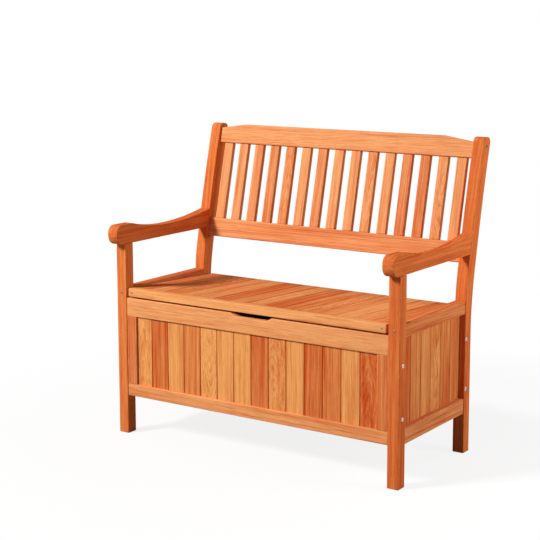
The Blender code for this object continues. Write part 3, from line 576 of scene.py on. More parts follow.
def block(shape: Shape, size: Vector, middle: Vector) -> None:
    """Add a sharp-edged block to a shape.

    Args:
        shape: the shape.
        size: the block's size.
        middle: where its middle lies.
    """
    made = bmesh.ops.create_cube(shape, size=1.0)["verts"]
    bmesh.ops.scale(shape, vec=size, verts=made)
    bmesh.ops.translate(shape, vec=middle, verts=made)


def mesh_of(name: str, shape: Shape) -> bpy.types.Mesh:
    """Write a shape to a mesh.

    Args:
        name: the mesh's name.
        shape: the shape; it is freed.

    Returns:
        The mesh.
    """
    mesh = bpy.data.meshes.new(name)
    shape.to_mesh(mesh)
    shape.free()
    return mesh


def put_in_scene(name: str, data: bpy.types.ID) -> bpy.types.Object:
    """Add an object to the scene.

    Args:
        name: its name.
        data: its mesh, lamp or camera.

    Returns:
        The object.
    """
    made = bpy.data.objects.new(name, data)
    bpy.context.scene.collection.objects.link(made)
    return made


def put_on_bench(
    name: str, shape: Shape, finish: Finish, body: str, node: str | None = None
) -> bpy.types.Object:
    """Make a piece of a finished shape.

    Args:
        name: the piece's name.
        shape: its mesh, in place; it is freed.
        finish: what it is finished with.
        body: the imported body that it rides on.
        node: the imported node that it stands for, if any.

    Returns:
        The new object.
    """
    for face in shape.faces:
        face.smooth = True
    mesh = mesh_of(name, shape)
    mesh.materials.append(material_of(finish))
    piece = put_in_scene(name, mesh)
    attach(piece, body)
    if node:
        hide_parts(node)
    LOG.info("%s rides on %s, %d faces", name, body, len(mesh.polygons))
    return piece


@dataclass(frozen=True)
class Bore:
    """A flat-bottomed hole that takes a bolt's head."""

    place: Vector
    facing: Vector
    radius: float
    depth: float
    margin: float = 1.12
    cuts: int = 5
    overlap: float = 0.98
    level: float = 0.1 * MM
    straight: float = 0.999

    def cut(self, shape: Shape) -> None:
        """Cut the hole in the flat side that its place lies on.

        Args:
            shape: the board.
        """
        half = self.radius * self.margin
        for axis in reversed(Axis):
            if self.facing[axis.value]:
                continue
            for sign in (-1, 1):
                normal = along(axis, sign)
                near = dict.fromkeys(
                    part
                    for face in self._faces_round(shape, half)
                    for part in (face, *face.edges, *face.verts)
                )
                bmesh.ops.bisect_plane(
                    shape, geom=list(near), plane_co=self.place + half * normal, plane_no=normal
                )
        faces = self._faces_round(shape, half)
        if len(faces) > 1:
            faces = bmesh.ops.dissolve_faces(shape, faces=faces)["region"]
        (mouth,) = faces
        long_edges = [edge for edge in mouth.edges if edge.calc_length() > self.radius / 2]
        bmesh.ops.bisect_edges(shape, edges=long_edges, cuts=self.cuts)
        bmesh.ops.inset_individual(shape, faces=[mouth], thickness=half - self.radius)
        for point in mouth.verts:
            point.co = self.place + (point.co - self.place).normalized() * self.radius
        rim = mouth.edges[:]
        grown = bmesh.ops.extrude_face_region(shape, geom=[mouth, *rim])["geom"]
        (floor,) = (part for part in grown if isinstance(part, Face))
        bmesh.ops.translate(shape, vec=-self.depth * self.facing, verts=floor.verts[:])
        for edge in (*rim, *floor.edges):
            edge.smooth = False

    def _faces_round(self, shape: Shape, half: float) -> list[Face]:
        """Find the faces of the bored side that overlap a square round the hole.

        Args:
            shape: the board.
            half: half the square's side.

        Returns:
            The faces.
        """
        found = []
        side = self.overlap * half
        for face in shape.faces:
            low, high = reach(point.co - self.place for point in face.verts)
            overlaps = all(low[axis] < side and high[axis] > -side for axis in range(3))
            above = abs(face.calc_center_median().dot(self.facing) - self.place.dot(self.facing))
            if overlaps and above < self.level and face.normal.dot(self.facing) > self.straight:
                found.append(face)
        return found


@dataclass(frozen=True)
class Cut:
    """How a board is sawn and worked: the way that its grain runs, how dark it is, the radius of its
    edges, how it lay in the tree, whether its edges are darkened by gathered stain and painted shade,
    as in the joints of a row of boards, its bores, and where a point would lie if it were straight,
    so that its grain bends with it."""

    grain: Axis
    tone: Tone
    ease: float = 1.5 * MM
    figure: Figure = Figure.STRAIGHT
    jointed: bool = False
    bores: Sequence[Bore] = ()
    straightened: Rule = Vector


class Timber:
    """Joinery: one or more boards in one mesh, each with its own grain, tone and worn edges, or, in a row,
    edges darkened by gathered stain and painted shade.
    """

    ARC_STEPS = 8
    EASE_STEPS = 2
    SHARP = math.radians(28)
    RUB = 3.0 * MM  # width of the ring round each face in which rubbing, or on boards in a row the gathered stain and painted shade, fades out
    RUB_SHARE = 0.28  # of a board's thickness, at most
    RUB_ROOM = 2.2  # rings that a face has room for, or it gets none
    MANY_SIDES = 8  # past which a face is an outline, and gets its ring
    JOINT = 0.3 * MM  # what a board in a row keeps from its place's edges
    TONGUE = 3 * MM  # half its width
    TONGUE_DEPTH = 0.36  # share of the thickness that it is set back by
    TONGUE_EASE = 0.3 * MM
    LOG_PLACE = (0.0, 40.0)  # least and most, as in what follows
    DRIFT = (-0.014, 0.014)
    TONE_SPREAD = (-0.06, 0.06)

    def __init__(self, node: str, lean: float = 0.0) -> None:
        """Start a piece.

        Args:
            node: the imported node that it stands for.
            lean: the angle that it leans back by.
        """
        self.node = node
        self.name = f"{node}_wood"
        self.lean = lean
        self.whole = bmesh.new()
        self.luck = random.Random(self.name)

    def board(self, low: Sequence[float], high: Sequence[float], cut: Cut) -> None:
        """Add a straight board.

        Args:
            low: its lowest corner.
            high: its highest corner.
            cut: how it is sawn and worked.
        """
        low, high = Vector(low), Vector(high)
        shape = bmesh.new()
        block(shape, high - low, (low + high) / 2)
        self._add(shape, cut)

    def row(
        self,
        room: Box,
        across: Axis,
        thin: Axis,
        boards: str,
        ease: float,
        edges: Sequence[float] | None = None,
    ) -> None:
        """Add boards side by side, with tongues that close the joints between them.

        Args:
            room: the panel's lowest and highest corner.
            across: the axis that the boards lie side by side on.
            thin: the axis of their thickness.
            boards: the initials that picked() reads.
            ease: the radius of their edges.
            edges: where the first one starts and each one ends, if they are not equally wide.
        """
        (grain,) = (axis for axis in Axis if axis not in (across, thin))
        side, depth = across.value, thin.value
        set_back = (room[1][depth] - room[0][depth]) * self.TONGUE_DEPTH
        pitch = (room[1][side] - room[0][side]) / len(boards)
        edges = edges or [room[0][side] + number * pitch for number in range(len(boards) + 1)]
        for number, (tone, figure) in enumerate(picked(boards)):
            low, high = room[0].copy(), room[1].copy()
            low[side], high[side] = edges[number] + self.JOINT, edges[number + 1] - self.JOINT
            self.board(low, high, Cut(grain, tone, ease, figure, jointed=True))
            if number:
                low[side], high[side] = edges[number] - self.TONGUE, edges[number] + self.TONGUE
                low[depth] += set_back
                high[depth] -= set_back
                # the tongue takes the darkest tone as painted shade at the bottom of each joint
                self.board(low, high, Cut(grain, Tone.CHESTNUT, self.TONGUE_EASE))

    def blank(
        self,
        corners: Sequence[Corner],
        across: Axis,
        span: Pair,
        cut: Cut,
        bends: dict[int, Rule] | None = None,
    ) -> None:
        """Add a board cut to an outline.

        Args:
            corners: (first, second, radius) of each corner; the outline lies in the two other axes.
            across: the axis that the outline is extruded along.
            span: where it starts and ends on that axis.
            cut: how it is sawn and worked.
            bends: for the edge that starts at a corner, the rule that places the points along it.
        """
        shape = bmesh.new()
        other = [axis.value for axis in Axis if axis is not across]
        places = []
        for first, second, _ in corners:
            place = along(across, span[0])
            place[other[0]], place[other[1]] = first, second
            places.append(place)
        shape.faces.new([shape.verts.new(place) for place in places])
        for index, rule in (bends or {}).items():
            self._bend_edge(shape, places[index], places[(index + 1) % len(places)], rule)
        for place, (_, _, radius) in zip(places, corners):
            if radius > 0:
                self._round_corner(shape, place, radius)
        grown = bmesh.ops.extrude_face_region(shape, geom=shape.faces[:])["geom"]
        moved = [part for part in grown if isinstance(part, Point)]
        bmesh.ops.translate(shape, vec=along(across, span[1] - span[0]), verts=moved)
        bmesh.ops.recalc_face_normals(shape, faces=shape.faces)
        self._add(shape, cut)

    @staticmethod
    def _point_at(shape: Shape, place: Vector) -> Point:
        """Find the point nearest to a place."""
        return min(shape.verts, key=lambda point: (point.co - place).length)

    def _bend_edge(self, shape: Shape, start: Vector, end: Vector, rule: Rule) -> None:
        """Divide the edge between two places and bend it.

        Args:
            shape: the outline.
            start: where the edge starts.
            end: where it ends.
            rule: what places each new point.
        """
        pair = {self._point_at(shape, start), self._point_at(shape, end)}
        edges = [edge for edge in shape.edges if set(edge.verts) == pair]
        made = bmesh.ops.subdivide_edges(shape, edges=edges, cuts=2 * self.ARC_STEPS)
        for part in made["geom_inner"]:
            if isinstance(part, Point):
                part.co = rule(part.co)

    def _round_corner(self, shape: Shape, place: Vector, radius: float) -> None:
        """Round one corner of the outline.

        Args:
            shape: the outline.
            place: where the corner is.
            radius: its radius.
        """
        point = self._point_at(shape, place)
        ends = [edge.other_vert(point).co - point.co for edge in point.link_edges]
        bmesh.ops.bevel(
            shape,
            geom=[point],
            offset=radius / math.tan(ends[0].angle(ends[1]) / 2),
            offset_type="OFFSET",
            segments=self.ARC_STEPS,
            profile=CIRCLE,
            affect="VERTICES",
            material=-1,
        )

    def _add(self, shape: Shape, cut: Cut) -> None:
        """Round a board's edges, ring its faces so that its edges can be marked as rubbed, or on a board in
        a row as darkened by gathered stain and painted shade, then bore it, lay out its grain and add it.

        Args:
            shape: the sharp-edged board; it is freed.
            cut: how it is sawn and worked.
        """
        bmesh.ops.bevel(
            shape,
            geom=[line for line in shape.edges if line.calc_face_angle(0.0) > self.SHARP],
            offset=cut.ease,
            offset_type="OFFSET",
            segments=self.EASE_STEPS,
            profile=CIRCLE,
            affect="EDGES",
            clamp_overlap=True,
            material=-1,
        )
        low, high = reach(point.co for point in shape.verts)
        rub = min(self.RUB, self.RUB_SHARE * min(high - low))
        flat = [face for face in shape.faces if self._is_wide(face, rub)]
        bmesh.ops.inset_individual(shape, faces=flat, thickness=rub, use_even_offset=True)
        shape.verts.index_update()
        unworn = {point.index for face in flat for point in face.verts}
        wear = shape.verts.layers.float.new("wear")
        # edges of a board in a row get -1, darkened in the material by gathered stain and painted shade;
        # other edges get +1, rubbed
        edge = -1.0 if cut.jointed else 1.0
        for point in shape.verts:
            point[wear] = 0.0 if point.index in unworn else edge
        for bore in cut.bores:
            bore.cut(shape)
        self._lay_grain(shape, cut)
        mesh = mesh_of(self.name, shape)
        self.whole.from_mesh(mesh)
        bpy.data.meshes.remove(mesh)

    def _is_wide(self, face: Face, rub: float) -> bool:
        """Tell whether a face has room for a ring of that width inside its edges."""
        shortest = min(edge.calc_length() for edge in face.edges)
        return shortest > self.RUB_ROOM * rub or len(face.edges) > self.MANY_SIDES

    def _lay_grain(self, shape: Shape, cut: Cut) -> None:
        """Store each point's place in the tree that the board was sawn from.

        Args:
            shape: the board.
            cut: how it is sawn and worked.
        """
        low, high = reach(cut.straightened(point.co) for point in shape.verts)
        size, middle = high - low, (low + high) / 2
        layer = shape.verts.layers.float_vector.new("grain")
        tones = shape.verts.layers.float.new("tone")
        length = cut.grain.value
        wide, thin = sorted((axis for axis in range(3) if axis != length), key=lambda axis: -size[axis])
        below, beside, rise = (self.luck.uniform(*limits) for limits in cut.figure.value)
        beside *= self.luck.choice((-1, 1))
        rise *= self.luck.choice((-1, 1))
        start = self.luck.uniform(*self.LOG_PLACE)
        drift = self.luck.uniform(*self.DRIFT)
        depth = cut.tone.value + self.luck.uniform(*self.TONE_SPREAD)
        for point in shape.verts:
            place = cut.straightened(point.co) - middle
            point[layer] = (
                place[length] + start,
                place[wide] + beside + drift * place[length],
                place[thin] + below + rise * place[length],
            )
            point[tones] = depth

    def finish(self, finish: WoodFinish, body: str = "frame") -> None:
        """Turn the boards into place and make them a piece.

        Args:
            finish: what it is finished with.
            body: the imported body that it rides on.
        """
        bmesh.ops.transform(self.whole, matrix=turn_x(self.lean), verts=self.whole.verts)
        put_on_bench(self.name, self.whole, finish, body, self.node)


def straight_piece(node: str, cut: Cut, finish: WoodFinish, body: str = "frame", lean: float = 0) -> None:
    """Make a piece that is one straight board.

    Args:
        node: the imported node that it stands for.
        cut: how it is sawn and worked.
        finish: what it is finished with.
        body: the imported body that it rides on.
        lean: the angle that it leans back by.
    """
    piece = Timber(node, lean)
    piece.board(*node_box(node, lean), cut)
    piece.finish(finish, body)


def picked(boards: str) -> list[tuple[Tone, Figure]]:
    """Read a row of boards.

    Args:
        boards: their tones' initials, palest P to darkest C, small where flamed.

    Returns:
        Each board's tone and figure.
    """
    initials = {tone.name[0]: tone for tone in Tone}
    figures = {False: Figure.STRAIGHT, True: Figure.FLAMED}
    return [(initials[letter.upper()], figures[letter.islower()]) for letter in boards]


# Sub-assemblies


@dataclass
class Fixing:
    """A bolt or screw head with a hexagonal or crossed recess.

    The dome's rings are (share of the radius, share of the height above the rim). The recess's depth
    is a share of the height, an arm spans where the cosine is past its least, and the waist between
    two arms is a share of their reach.
    """

    radius: float
    height: float
    recess: float
    sides: int = 24
    crossed: bool = False
    rim: float = 0.35
    dome: tuple[Pair, ...] = ((0.93, 0.46), (0.78, 0.31), (0.55, 0.23))
    recess_depth: float = 0.8
    arm: float = 0.3
    waist: float = 0.42

    def add(self, shape: Shape, place: Vector, facing: Vector) -> None:
        """Add one head to a shape.

        Args:
            shape: the mesh that it is added to.
            place: the middle of its underside, on the wood.
            facing: the way that it looks.
        """
        made = bmesh.ops.create_circle(shape, cap_ends=True, segments=self.sides, radius=self.radius)
        points = set(made["verts"])
        cap = [face for face in shape.faces if set(face.verts) == points]
        domed = [(share, part * (1 - self.rim)) for share, part in self.dome]
        for share, rise in ((1.0, self.rim), *domed):
            cap, ring = self._grow(shape, cap, points)
            for point in ring:
                point.co.xy = point.co.xy.normalized() * self.radius * share
            bmesh.ops.translate(shape, vec=(0, 0, rise * self.height), verts=ring)
        for depth in (0.0, -self.recess_depth * self.height):
            for edge in cap[0].edges if depth else ():
                edge.smooth = False
            cap, ring = self._grow(shape, cap, points)
            for point in ring:
                self._to_recess(point)
            bmesh.ops.translate(shape, vec=(0, 0, depth), verts=ring)
        turn = facing.to_track_quat("Z", "Y").to_matrix().to_4x4()
        bmesh.ops.transform(shape, matrix=Matrix.Translation(place) @ turn, verts=list(points))

    @staticmethod
    def _grow(shape: Shape, cap: list[Face], points: set[Point]) -> tuple[list[Face], list[Point]]:
        """Extrude the cap, with its new points still where the old ones are.

        Args:
            shape: the mesh.
            cap: the head's last face, alone in a list.
            points: the head's points, which the new ones are added to.

        Returns:
            The new cap and its points.
        """
        grown = bmesh.ops.extrude_face_region(shape, geom=cap + cap[0].edges[:])["geom"]
        ring = [part for part in grown if isinstance(part, Point)]
        points.update(ring)
        return [part for part in grown if isinstance(part, Face)], ring

    def _to_recess(self, point: Point) -> None:
        """Move a point of the innermost ring onto the recess's outline.

        Args:
            point: the point.
        """
        angle = math.atan2(point.co.y, point.co.x)
        if self.crossed:
            out = self.recess * (1.0 if math.cos(4 * angle) > self.arm else self.waist)
        else:
            sixth = math.pi / 3
            offset = (angle % sixth) - sixth / 2
            out = self.recess * math.cos(sixth / 2) / math.cos(offset)
        point.co.xy = Vector((math.cos(angle), math.sin(angle))) * out


@dataclass
class Post:
    """Side view of a rear leg: upright below, swept back in two curves above."""

    front: float = 396 * MM
    depth: float = 44 * MM
    foot: float = 36 * MM
    knee_start: float = 450 * MM
    knee_end: float = 530 * MM
    knee_slope: float = 0.19
    top_slope: float = 0.27
    top: float = 938 * MM

    def face(self, height: float) -> float:
        """Find how far back the front face stands.

        Args:
            height: the height that is asked for.

        Returns:
            The distance behind the front legs' front face.
        """
        if height <= self.knee_start:
            return self.front
        knee = self.knee_end - self.knee_start
        if height <= self.knee_end:
            return self.front + self.knee_slope * (height - self.knee_start) ** 2 / (2 * knee)
        rise = height - self.knee_end
        sweep = (self.top_slope - self.knee_slope) / (self.top - self.knee_end)
        return self.front + self.knee_slope * (knee / 2 + rise) + sweep * rise**2 / 2

    def bend_start(self) -> float:
        """Height at which the rear face starts to sweep back."""
        at_knee = self.face(self.knee_end) + self.depth
        return self.knee_end - 2 * (at_knee - self.front - self.foot) / self.knee_slope

    def rear(self, height: float) -> float:
        """Find how far back the rear face stands.

        Args:
            height: the height that is asked for.

        Returns:
            The distance behind the front legs' front face.
        """
        start = self.bend_start()
        run = self.knee_end - start
        if height <= start:
            return self.front + self.foot
        if height <= self.knee_end:
            return self.front + self.foot + self.knee_slope * (height - start) ** 2 / (2 * run)
        return self.face(height) + self.depth


@dataclass
class LegBolts:
    """Bolts through the outer faces of the legs, each with its head sunk in a bore."""

    post: Post = field(default_factory=Post)
    head: Fixing = field(default_factory=lambda: Fixing(6.2 * MM, 2.4 * MM, 2.4 * MM, rim=0.8))
    post_head: Fixing = field(default_factory=lambda: Fixing(4.2 * MM, 1.6 * MM, 1.8 * MM, rim=0.8))
    heights: Pair = (197 * MM, 348 * MM)
    on_front_leg: float = 22 * MM
    on_rear_leg: float = 9 * MM
    on_post: float = 912 * MM
    from_post_rear: float = 23 * MM
    play: float = 0.4 * MM

    def places(self, leg: str, side: str) -> list[Vector]:
        """Find the middles of the heads on a leg or a post.

        Args:
            leg: "front_leg", "rear_leg" or "post".
            side: "left" or "right".

        Returns:
            Their places on its outer face.
        """
        low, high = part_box(f"front_leg_{side}")
        outer = high.x if side == "right" else low.x
        if leg == "post":
            depth = low.y + self.post.rear(self.on_post) - self.from_post_rear
            return [Vector((outer, depth, self.on_post))]
        depth = self.on_front_leg if leg == "front_leg" else self.on_rear_leg
        return [Vector((outer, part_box(f"{leg}_{side}")[0].y + depth, height)) for height in self.heights]

    def bores(self, leg: str, side: str) -> list[Bore]:
        """List the bores in a leg.

        Args:
            leg: "front_leg" or "rear_leg".
            side: "left" or "right".

        Returns:
            A bore for each head on its outer face.
        """
        heads = [(place, self.head) for place in self.places(leg, side)]
        if leg == "rear_leg":
            heads += [(place, self.post_head) for place in self.places("post", side)]
        out = Vector((dict(SIDES)[side], 0.0, 0.0))
        return [Bore(place, out, head.radius + self.play, head.height) for place, head in heads]


@dataclass
class Legs:
    """Four legs; each rear leg is one piece with the post of the back."""

    post: Post = field(default_factory=Post)
    bolts: LegBolts = field(default_factory=LegBolts)
    corner: float = 16.4 * MM
    tones: tuple[Tone, Tone] = (Tone.HONEY, Tone.AMBER)

    def build(self) -> None:
        """Make the legs."""
        for (side, _), tone in zip(SIDES, self.tones):
            cut = Cut(Axis.Z, tone, bores=self.bolts.bores("front_leg", side))
            straight_piece(f"front_leg_{side}", cut, FRAME_WOOD)
            self._rear(side, tone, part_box(f"front_leg_{side}")[0].y)

    def _rear(self, side: str, tone: Tone, front: float) -> None:
        """Make one rear leg.

        Args:
            side: "left" or "right".
            tone: how dark it is.
            front: where the front legs' front face stands, which the leg's sizes are measured from.
        """
        low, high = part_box(f"rear_leg_{side}")
        post = self.post
        corners = [
            (front + post.front, 0.0, 0.0),
            (front + post.front, post.knee_start, 0.0),
            (front + post.face(post.top), post.top, self.corner),
            (front + post.rear(post.top), post.top, self.corner),
            (front + post.front + post.foot, post.bend_start(), 0.0),
            (front + post.front + post.foot, 0.0, 0.0),
        ]
        bends = {
            1: lambda place: Vector((place.x, front + post.face(place.z), place.z)),
            3: lambda place: Vector((place.x, front + post.rear(place.z), place.z)),
        }
        cut = Cut(
            Axis.Z,
            tone,
            bores=self.bolts.bores("rear_leg", side),
            straightened=lambda place: place - Vector((0.0, post.face(place.z), 0.0)),
        )
        leg = Timber(f"rear_leg_{side}")
        leg.blank(corners, Axis.X, (low.x, high.x), cut, bends)
        leg.finish(FRAME_WOOD)


@dataclass
class Armrests:
    """Armrests with a rounded nose, a hump and a dip."""

    post: Post = field(default_factory=Post)
    overhang: float = 38.5 * MM
    hump: float = 40 * MM
    low_at: float = 212 * MM
    dip: float = 22.5 * MM
    nose_lower: float = 28 * MM
    nose_upper: float = 24 * MM
    gap: float = 0.3 * MM
    ease: float = 1.6 * MM

    def build(self) -> None:
        """Make both armrests."""
        for side, _ in SIDES:
            low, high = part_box(f"armrest_{side}")
            front = low.y + self.overhang
            corners = [
                (front + self.post.face(low.z) - self.gap, low.z, 0.0),
                (front + self.post.face(high.z) - self.gap, high.z, 0.0),
                (front + self.hump, high.z, 0.0),
                (low.y, high.z, self.nose_upper),
                (low.y, low.z, self.nose_lower),
            ]
            bends = {1: lambda place, front=front, top=high.z: self._dipped(place, front, top)}
            arm = Timber(f"armrest_{side}")
            arm.blank(corners, Axis.X, (low.x, high.x), Cut(Axis.Y, Tone.AMBER, self.ease), bends)
            arm.finish(FRAME_WOOD)

    def _dipped(self, place: Vector, front: float, top: float) -> Vector:
        """Place a point of the top edge.

        Args:
            place: where it would lie on a straight edge.
            front: where the front legs' front face stands.
            top: the level of the hump.

        Returns:
            Its place on the dip's two curves.
        """
        run = place.y - front
        length = self.low_at - self.hump if run < self.low_at else self.post.face(top) - self.low_at
        fall = self.dip * (1 - ((run - self.low_at) / length) ** 2)
        return Vector((place.x, place.y, top - fall))


@dataclass
class BackRest:
    """Top rail with sloping ends, bottom rail and the slats between them."""

    drop: float = 14 * MM
    slope: float = 95.7 * MM
    bend: float = 120 * MM
    slats: str = "PPHAhPHPPhPAApP"

    def build(self) -> None:
        """Make the rails and slats."""
        lean = lean_of("back_slat_01", FORWARD)
        straight_piece("back_bottom_rail", Cut(Axis.X, Tone.HONEY), BACK_WOOD, lean=lean)
        low, high = node_box("back_top_rail", lean)
        end = high.z - self.drop / math.cos(lean)
        corners = [
            (low.x, low.z, 0.0),
            (high.x, low.z, 0.0),
            (high.x, end, 0.0),
            (high.x - self.slope, high.z, self.bend),
            (low.x + self.slope, high.z, self.bend),
            (low.x, end, 0.0),
        ]
        rail = Timber("back_top_rail", lean)
        rail.blank(corners, Axis.Y, (low.y, high.y), Cut(Axis.X, Tone.PALE))
        rail.finish(BACK_WOOD)
        for number, (tone, figure) in enumerate(picked(self.slats), start=1):
            cut = Cut(Axis.Z, tone, figure=figure)
            straight_piece(f"back_slat_{number:02d}", cut, BACK_WOOD, lean=lean)


@dataclass
class Panels:
    """The box: framed boards in front, behind and at both ends, and its floor."""

    housed: float = 7 * MM
    cut_out: tuple[Corner, ...] = (
        (75 * MM, 0.0, 0.0),
        (58 * MM, 10 * MM, 8 * MM),
        (-42 * MM, 10 * MM, 32 * MM),
        (-72 * MM, 0.0, 0.0),
    )
    end_share: float = 0.92
    front_row: str = "hRPApPPRhPRAPr"
    rear_row: str = "AhPHpAHRAhPHHA"
    side_row: str = "RAHhAA"
    board_ease: float = 1.3 * MM
    floor_ease: float = 0.8 * MM

    def build(self) -> None:
        """Make the four sides and the floor."""
        self._front_top_rail()
        for node in ("front_bottom_rail", "rear_bottom_rail", "rear_top_rail"):
            straight_piece(node, Cut(Axis.X, Tone.HONEY), PANEL_WOOD)
        for (side, _), tone in zip(SIDES, (Tone.RUSSET, Tone.AMBER)):
            for node, cut in (
                ("front_stile", Cut(Axis.Z, tone)),
                ("rear_stile", Cut(Axis.Z, Tone.RUSSET)),
                ("side_top_rail", Cut(Axis.Y, Tone.RUSSET)),
                ("side_bottom_rail", Cut(Axis.Y, Tone.AMBER)),
            ):
                straight_piece(f"{node}_{side}", cut, PANEL_WOOD)
            boards = Timber(f"side_boards_{side}")
            boards.row(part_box(boards.node), Axis.Y, Axis.X, self.side_row, self.board_ease)
            boards.finish(BOARD_WOOD)
        self._long_boards("front", self.front_row)
        self._long_boards("rear", self.rear_row)
        self._floor()

    def _front_top_rail(self) -> None:
        """Make the rail with the finger cut-out in its top edge."""
        low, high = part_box("front_top_rail")
        corners = [
            (low.x, low.z, 0.0),
            (high.x, low.z, 0.0),
            (high.x, high.z, 0.0),
            *((x, high.z - depth, radius) for x, depth, radius in self.cut_out),
            (low.x, high.z, 0.0),
        ]
        rail = Timber("front_top_rail")
        rail.blank(corners, Axis.Y, (low.y, high.y), Cut(Axis.X, Tone.PALE))
        rail.finish(PANEL_WOOD)

    def _long_boards(self, end: str, row: str) -> None:
        """Make the upright boards of a long side, the outer ones narrower.

        Args:
            end: "front" or "rear".
            row: the initials that picked() reads.
        """
        low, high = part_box(f"{end}_boards")
        inner = -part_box(f"{end}_stile_left")[1].x
        pitch = 2 * inner / (len(row) - 2 + 2 * self.end_share)
        edges = [low.x, *((number - len(row) / 2) * pitch for number in range(1, len(row))), high.x]
        boards = Timber(f"{end}_boards")
        boards.row((low, high), Axis.X, Axis.Y, row, self.board_ease, edges)
        boards.finish(BOARD_WOOD)

    def _floor(self) -> None:
        """Make the floor of the box, up to the inner faces of its frame."""
        low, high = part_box("floor_panel")
        floor = Timber("floor_panel")
        inset = Vector((self.housed, self.housed, 0.0))
        floor.board(low + inset, high - inset, Cut(Axis.X, Tone.AMBER, self.floor_ease))
        floor.finish(BOARD_WOOD)


@dataclass
class Lid:
    """The seat: boards behind a nosed front rail, over a frame of flat members."""

    boards: str = "AHaHHRAHRAhHPHA"
    nose: float = 28 * MM
    nose_ease: float = 2 * MM
    board_gap: float = 0.3 * MM
    board_ease: float = 1.2 * MM
    lean: float = field(default_factory=lid_lean)

    def build(self) -> None:
        """Make the lid."""
        self._front_rail()
        for node, cut in (
            ("lid_stile_left", Cut(Axis.Y, Tone.RUSSET)),
            ("lid_stile_right", Cut(Axis.Y, Tone.RUSSET)),
            ("lid_rear_rail", Cut(Axis.X, Tone.AMBER)),
            ("lid_batten", Cut(Axis.X, Tone.HONEY)),
        ):
            straight_piece(node, cut, LID_WOOD, "lid", self.lean)
        boards = Timber("lid_boards", self.lean)
        boards.row(node_box(boards.node, self.lean), Axis.X, Axis.Z, self.boards, self.board_ease)
        boards.finish(LID_WOOD, "lid")

    def _front_rail(self) -> None:
        """Make the nosed front rail and the flat member glued behind it."""
        low, high = node_box("lid_front_rail", self.lean)
        stile = node_box("lid_stile_left", self.lean)[1]
        inner = -stile.x - self.board_gap
        behind = low.y + self.nose
        rail = Timber("lid_front_rail", self.lean)
        rail.board(low, (high.x, behind, high.z), Cut(Axis.X, Tone.PALE, self.nose_ease))
        rail.board((-inner, behind, low.z), (inner, high.y, stile.z), Cut(Axis.X, Tone.HONEY))
        rail.finish(LID_WOOD, "lid")


@dataclass
class Liner:
    """Two cloths stapled between the members of the lid's frame."""

    thickness: float = 0.8 * MM
    cells: tuple[int, int] = (60, 12)
    ripple: float = 0.35 * MM
    waves: Pair = (38.0, 60.0)
    staple: float = 10 * MM
    wire: float = 1.0 * MM
    wire_ease: float = 0.3 * MM
    inset: float = 7 * MM
    pitch: float = 62 * MM
    lean: float = field(default_factory=lid_lean)

    def build(self) -> None:
        """Make the cloths and their staples."""
        front, batten, rear, boards, stile = (
            node_box(f"lid_{node}", self.lean)
            for node in ("front_rail", "batten", "rear_rail", "boards", "stile_left")
        )
        half, level = -stile[1].x, boards[0].z
        for label, start, end in (("front", front[1].y, batten[0].y), ("rear", batten[1].y, rear[0].y)):
            liner = self._cloth(label, (half, start, end), level - self.thickness)
            staples = self._staples(label, (half, start, end), level - 2 * self.thickness)

    def _cloth(self, label: str, room: Corner, level: float) -> bpy.types.Object:
        """Make one cloth with a slight ripple.

        Args:
            label: which one.
            room: half the cloth's width, and where it starts and ends from front to back.
            level: the level that it hangs from.

        Returns:
            The piece.
        """
        half, start, end = room
        cloth = bmesh.new()
        across, deep = self.cells
        made = bmesh.ops.create_grid(cloth, x_segments=across, y_segments=deep, size=0.5)["verts"]
        bmesh.ops.scale(cloth, vec=(2 * half, end - start, 1.0), verts=made)
        phase = random.Random(label).uniform(0.0, math.tau)
        for point in made:
            along_x, along_y = (math.sin(wave * x + phase) for wave, x in zip(self.waves, point.co))
            point.co.z = -self.ripple * (1 + along_x * along_y)
        bmesh.ops.translate(cloth, vec=(0.0, (start + end) / 2, level), verts=cloth.verts)
        bmesh.ops.solidify(cloth, geom=cloth.faces[:], thickness=self.thickness)
        bmesh.ops.recalc_face_normals(cloth, faces=cloth.faces)
        bmesh.ops.transform(cloth, matrix=turn_x(self.lean), verts=cloth.verts)
        return put_on_bench(f"lid_liner_{label}", cloth, LinerFinish(), "lid")

    def _staples(self, label: str, room: Corner, level: float) -> bpy.types.Object:
        """Make the row of staples along both long edges of one cloth.

        Args:
            label: which cloth they hold.
            room: half the cloth's width, and where it starts and ends from front to back.
            level: the level of its lower side.

        Returns:
            The piece.
        """
        half, start, end = room
        staples = bmesh.new()
        gaps = round(2 * half / self.pitch) - 1
        for row in (start + self.inset, end - self.inset):
            for number in range(gaps + 1):
                middle = (number - gaps / 2) * 2 * (half - self.staple) / gaps
                size = Vector((self.staple, self.wire, self.wire))
                block(staples, size, Vector((middle, row, level)))
        bmesh.ops.bevel(
            staples,
            geom=staples.edges[:],
            offset=self.wire_ease,
            segments=1,
            profile=CIRCLE,
            affect="EDGES",
            material=-1,
        )
        bmesh.ops.transform(staples, matrix=turn_x(self.lean), verts=staples.verts)
        return put_on_bench(f"lid_liner_{label}_staples", staples, PLATED, "lid")


@dataclass
class Metalwork:
    """Packed hinges and stays, with their finishes."""

    plated: tuple[str, ...] = (
        "hinge_leaf_frame",
        "hinge_leaf_lid",
        "hinge_pin",
        "stay_foot",
        "stay_head",
        "stay_rod",
    )
    painted: tuple[str, ...] = ("stay_tube",)

    def build(self) -> None:
        """Give each packed metal node its finish."""
        finishes = {name: PLATED for name in self.plated} | {name: PAINTED for name in self.painted}
        for name, finish in finishes.items():
            for side, _ in SIDES:
                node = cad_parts[f"{name}_{side}"]
                node.data.materials.clear()
                node.data.materials.append(material_of(finish))
                LOG.info("%s keeps its packed shape", node.name)


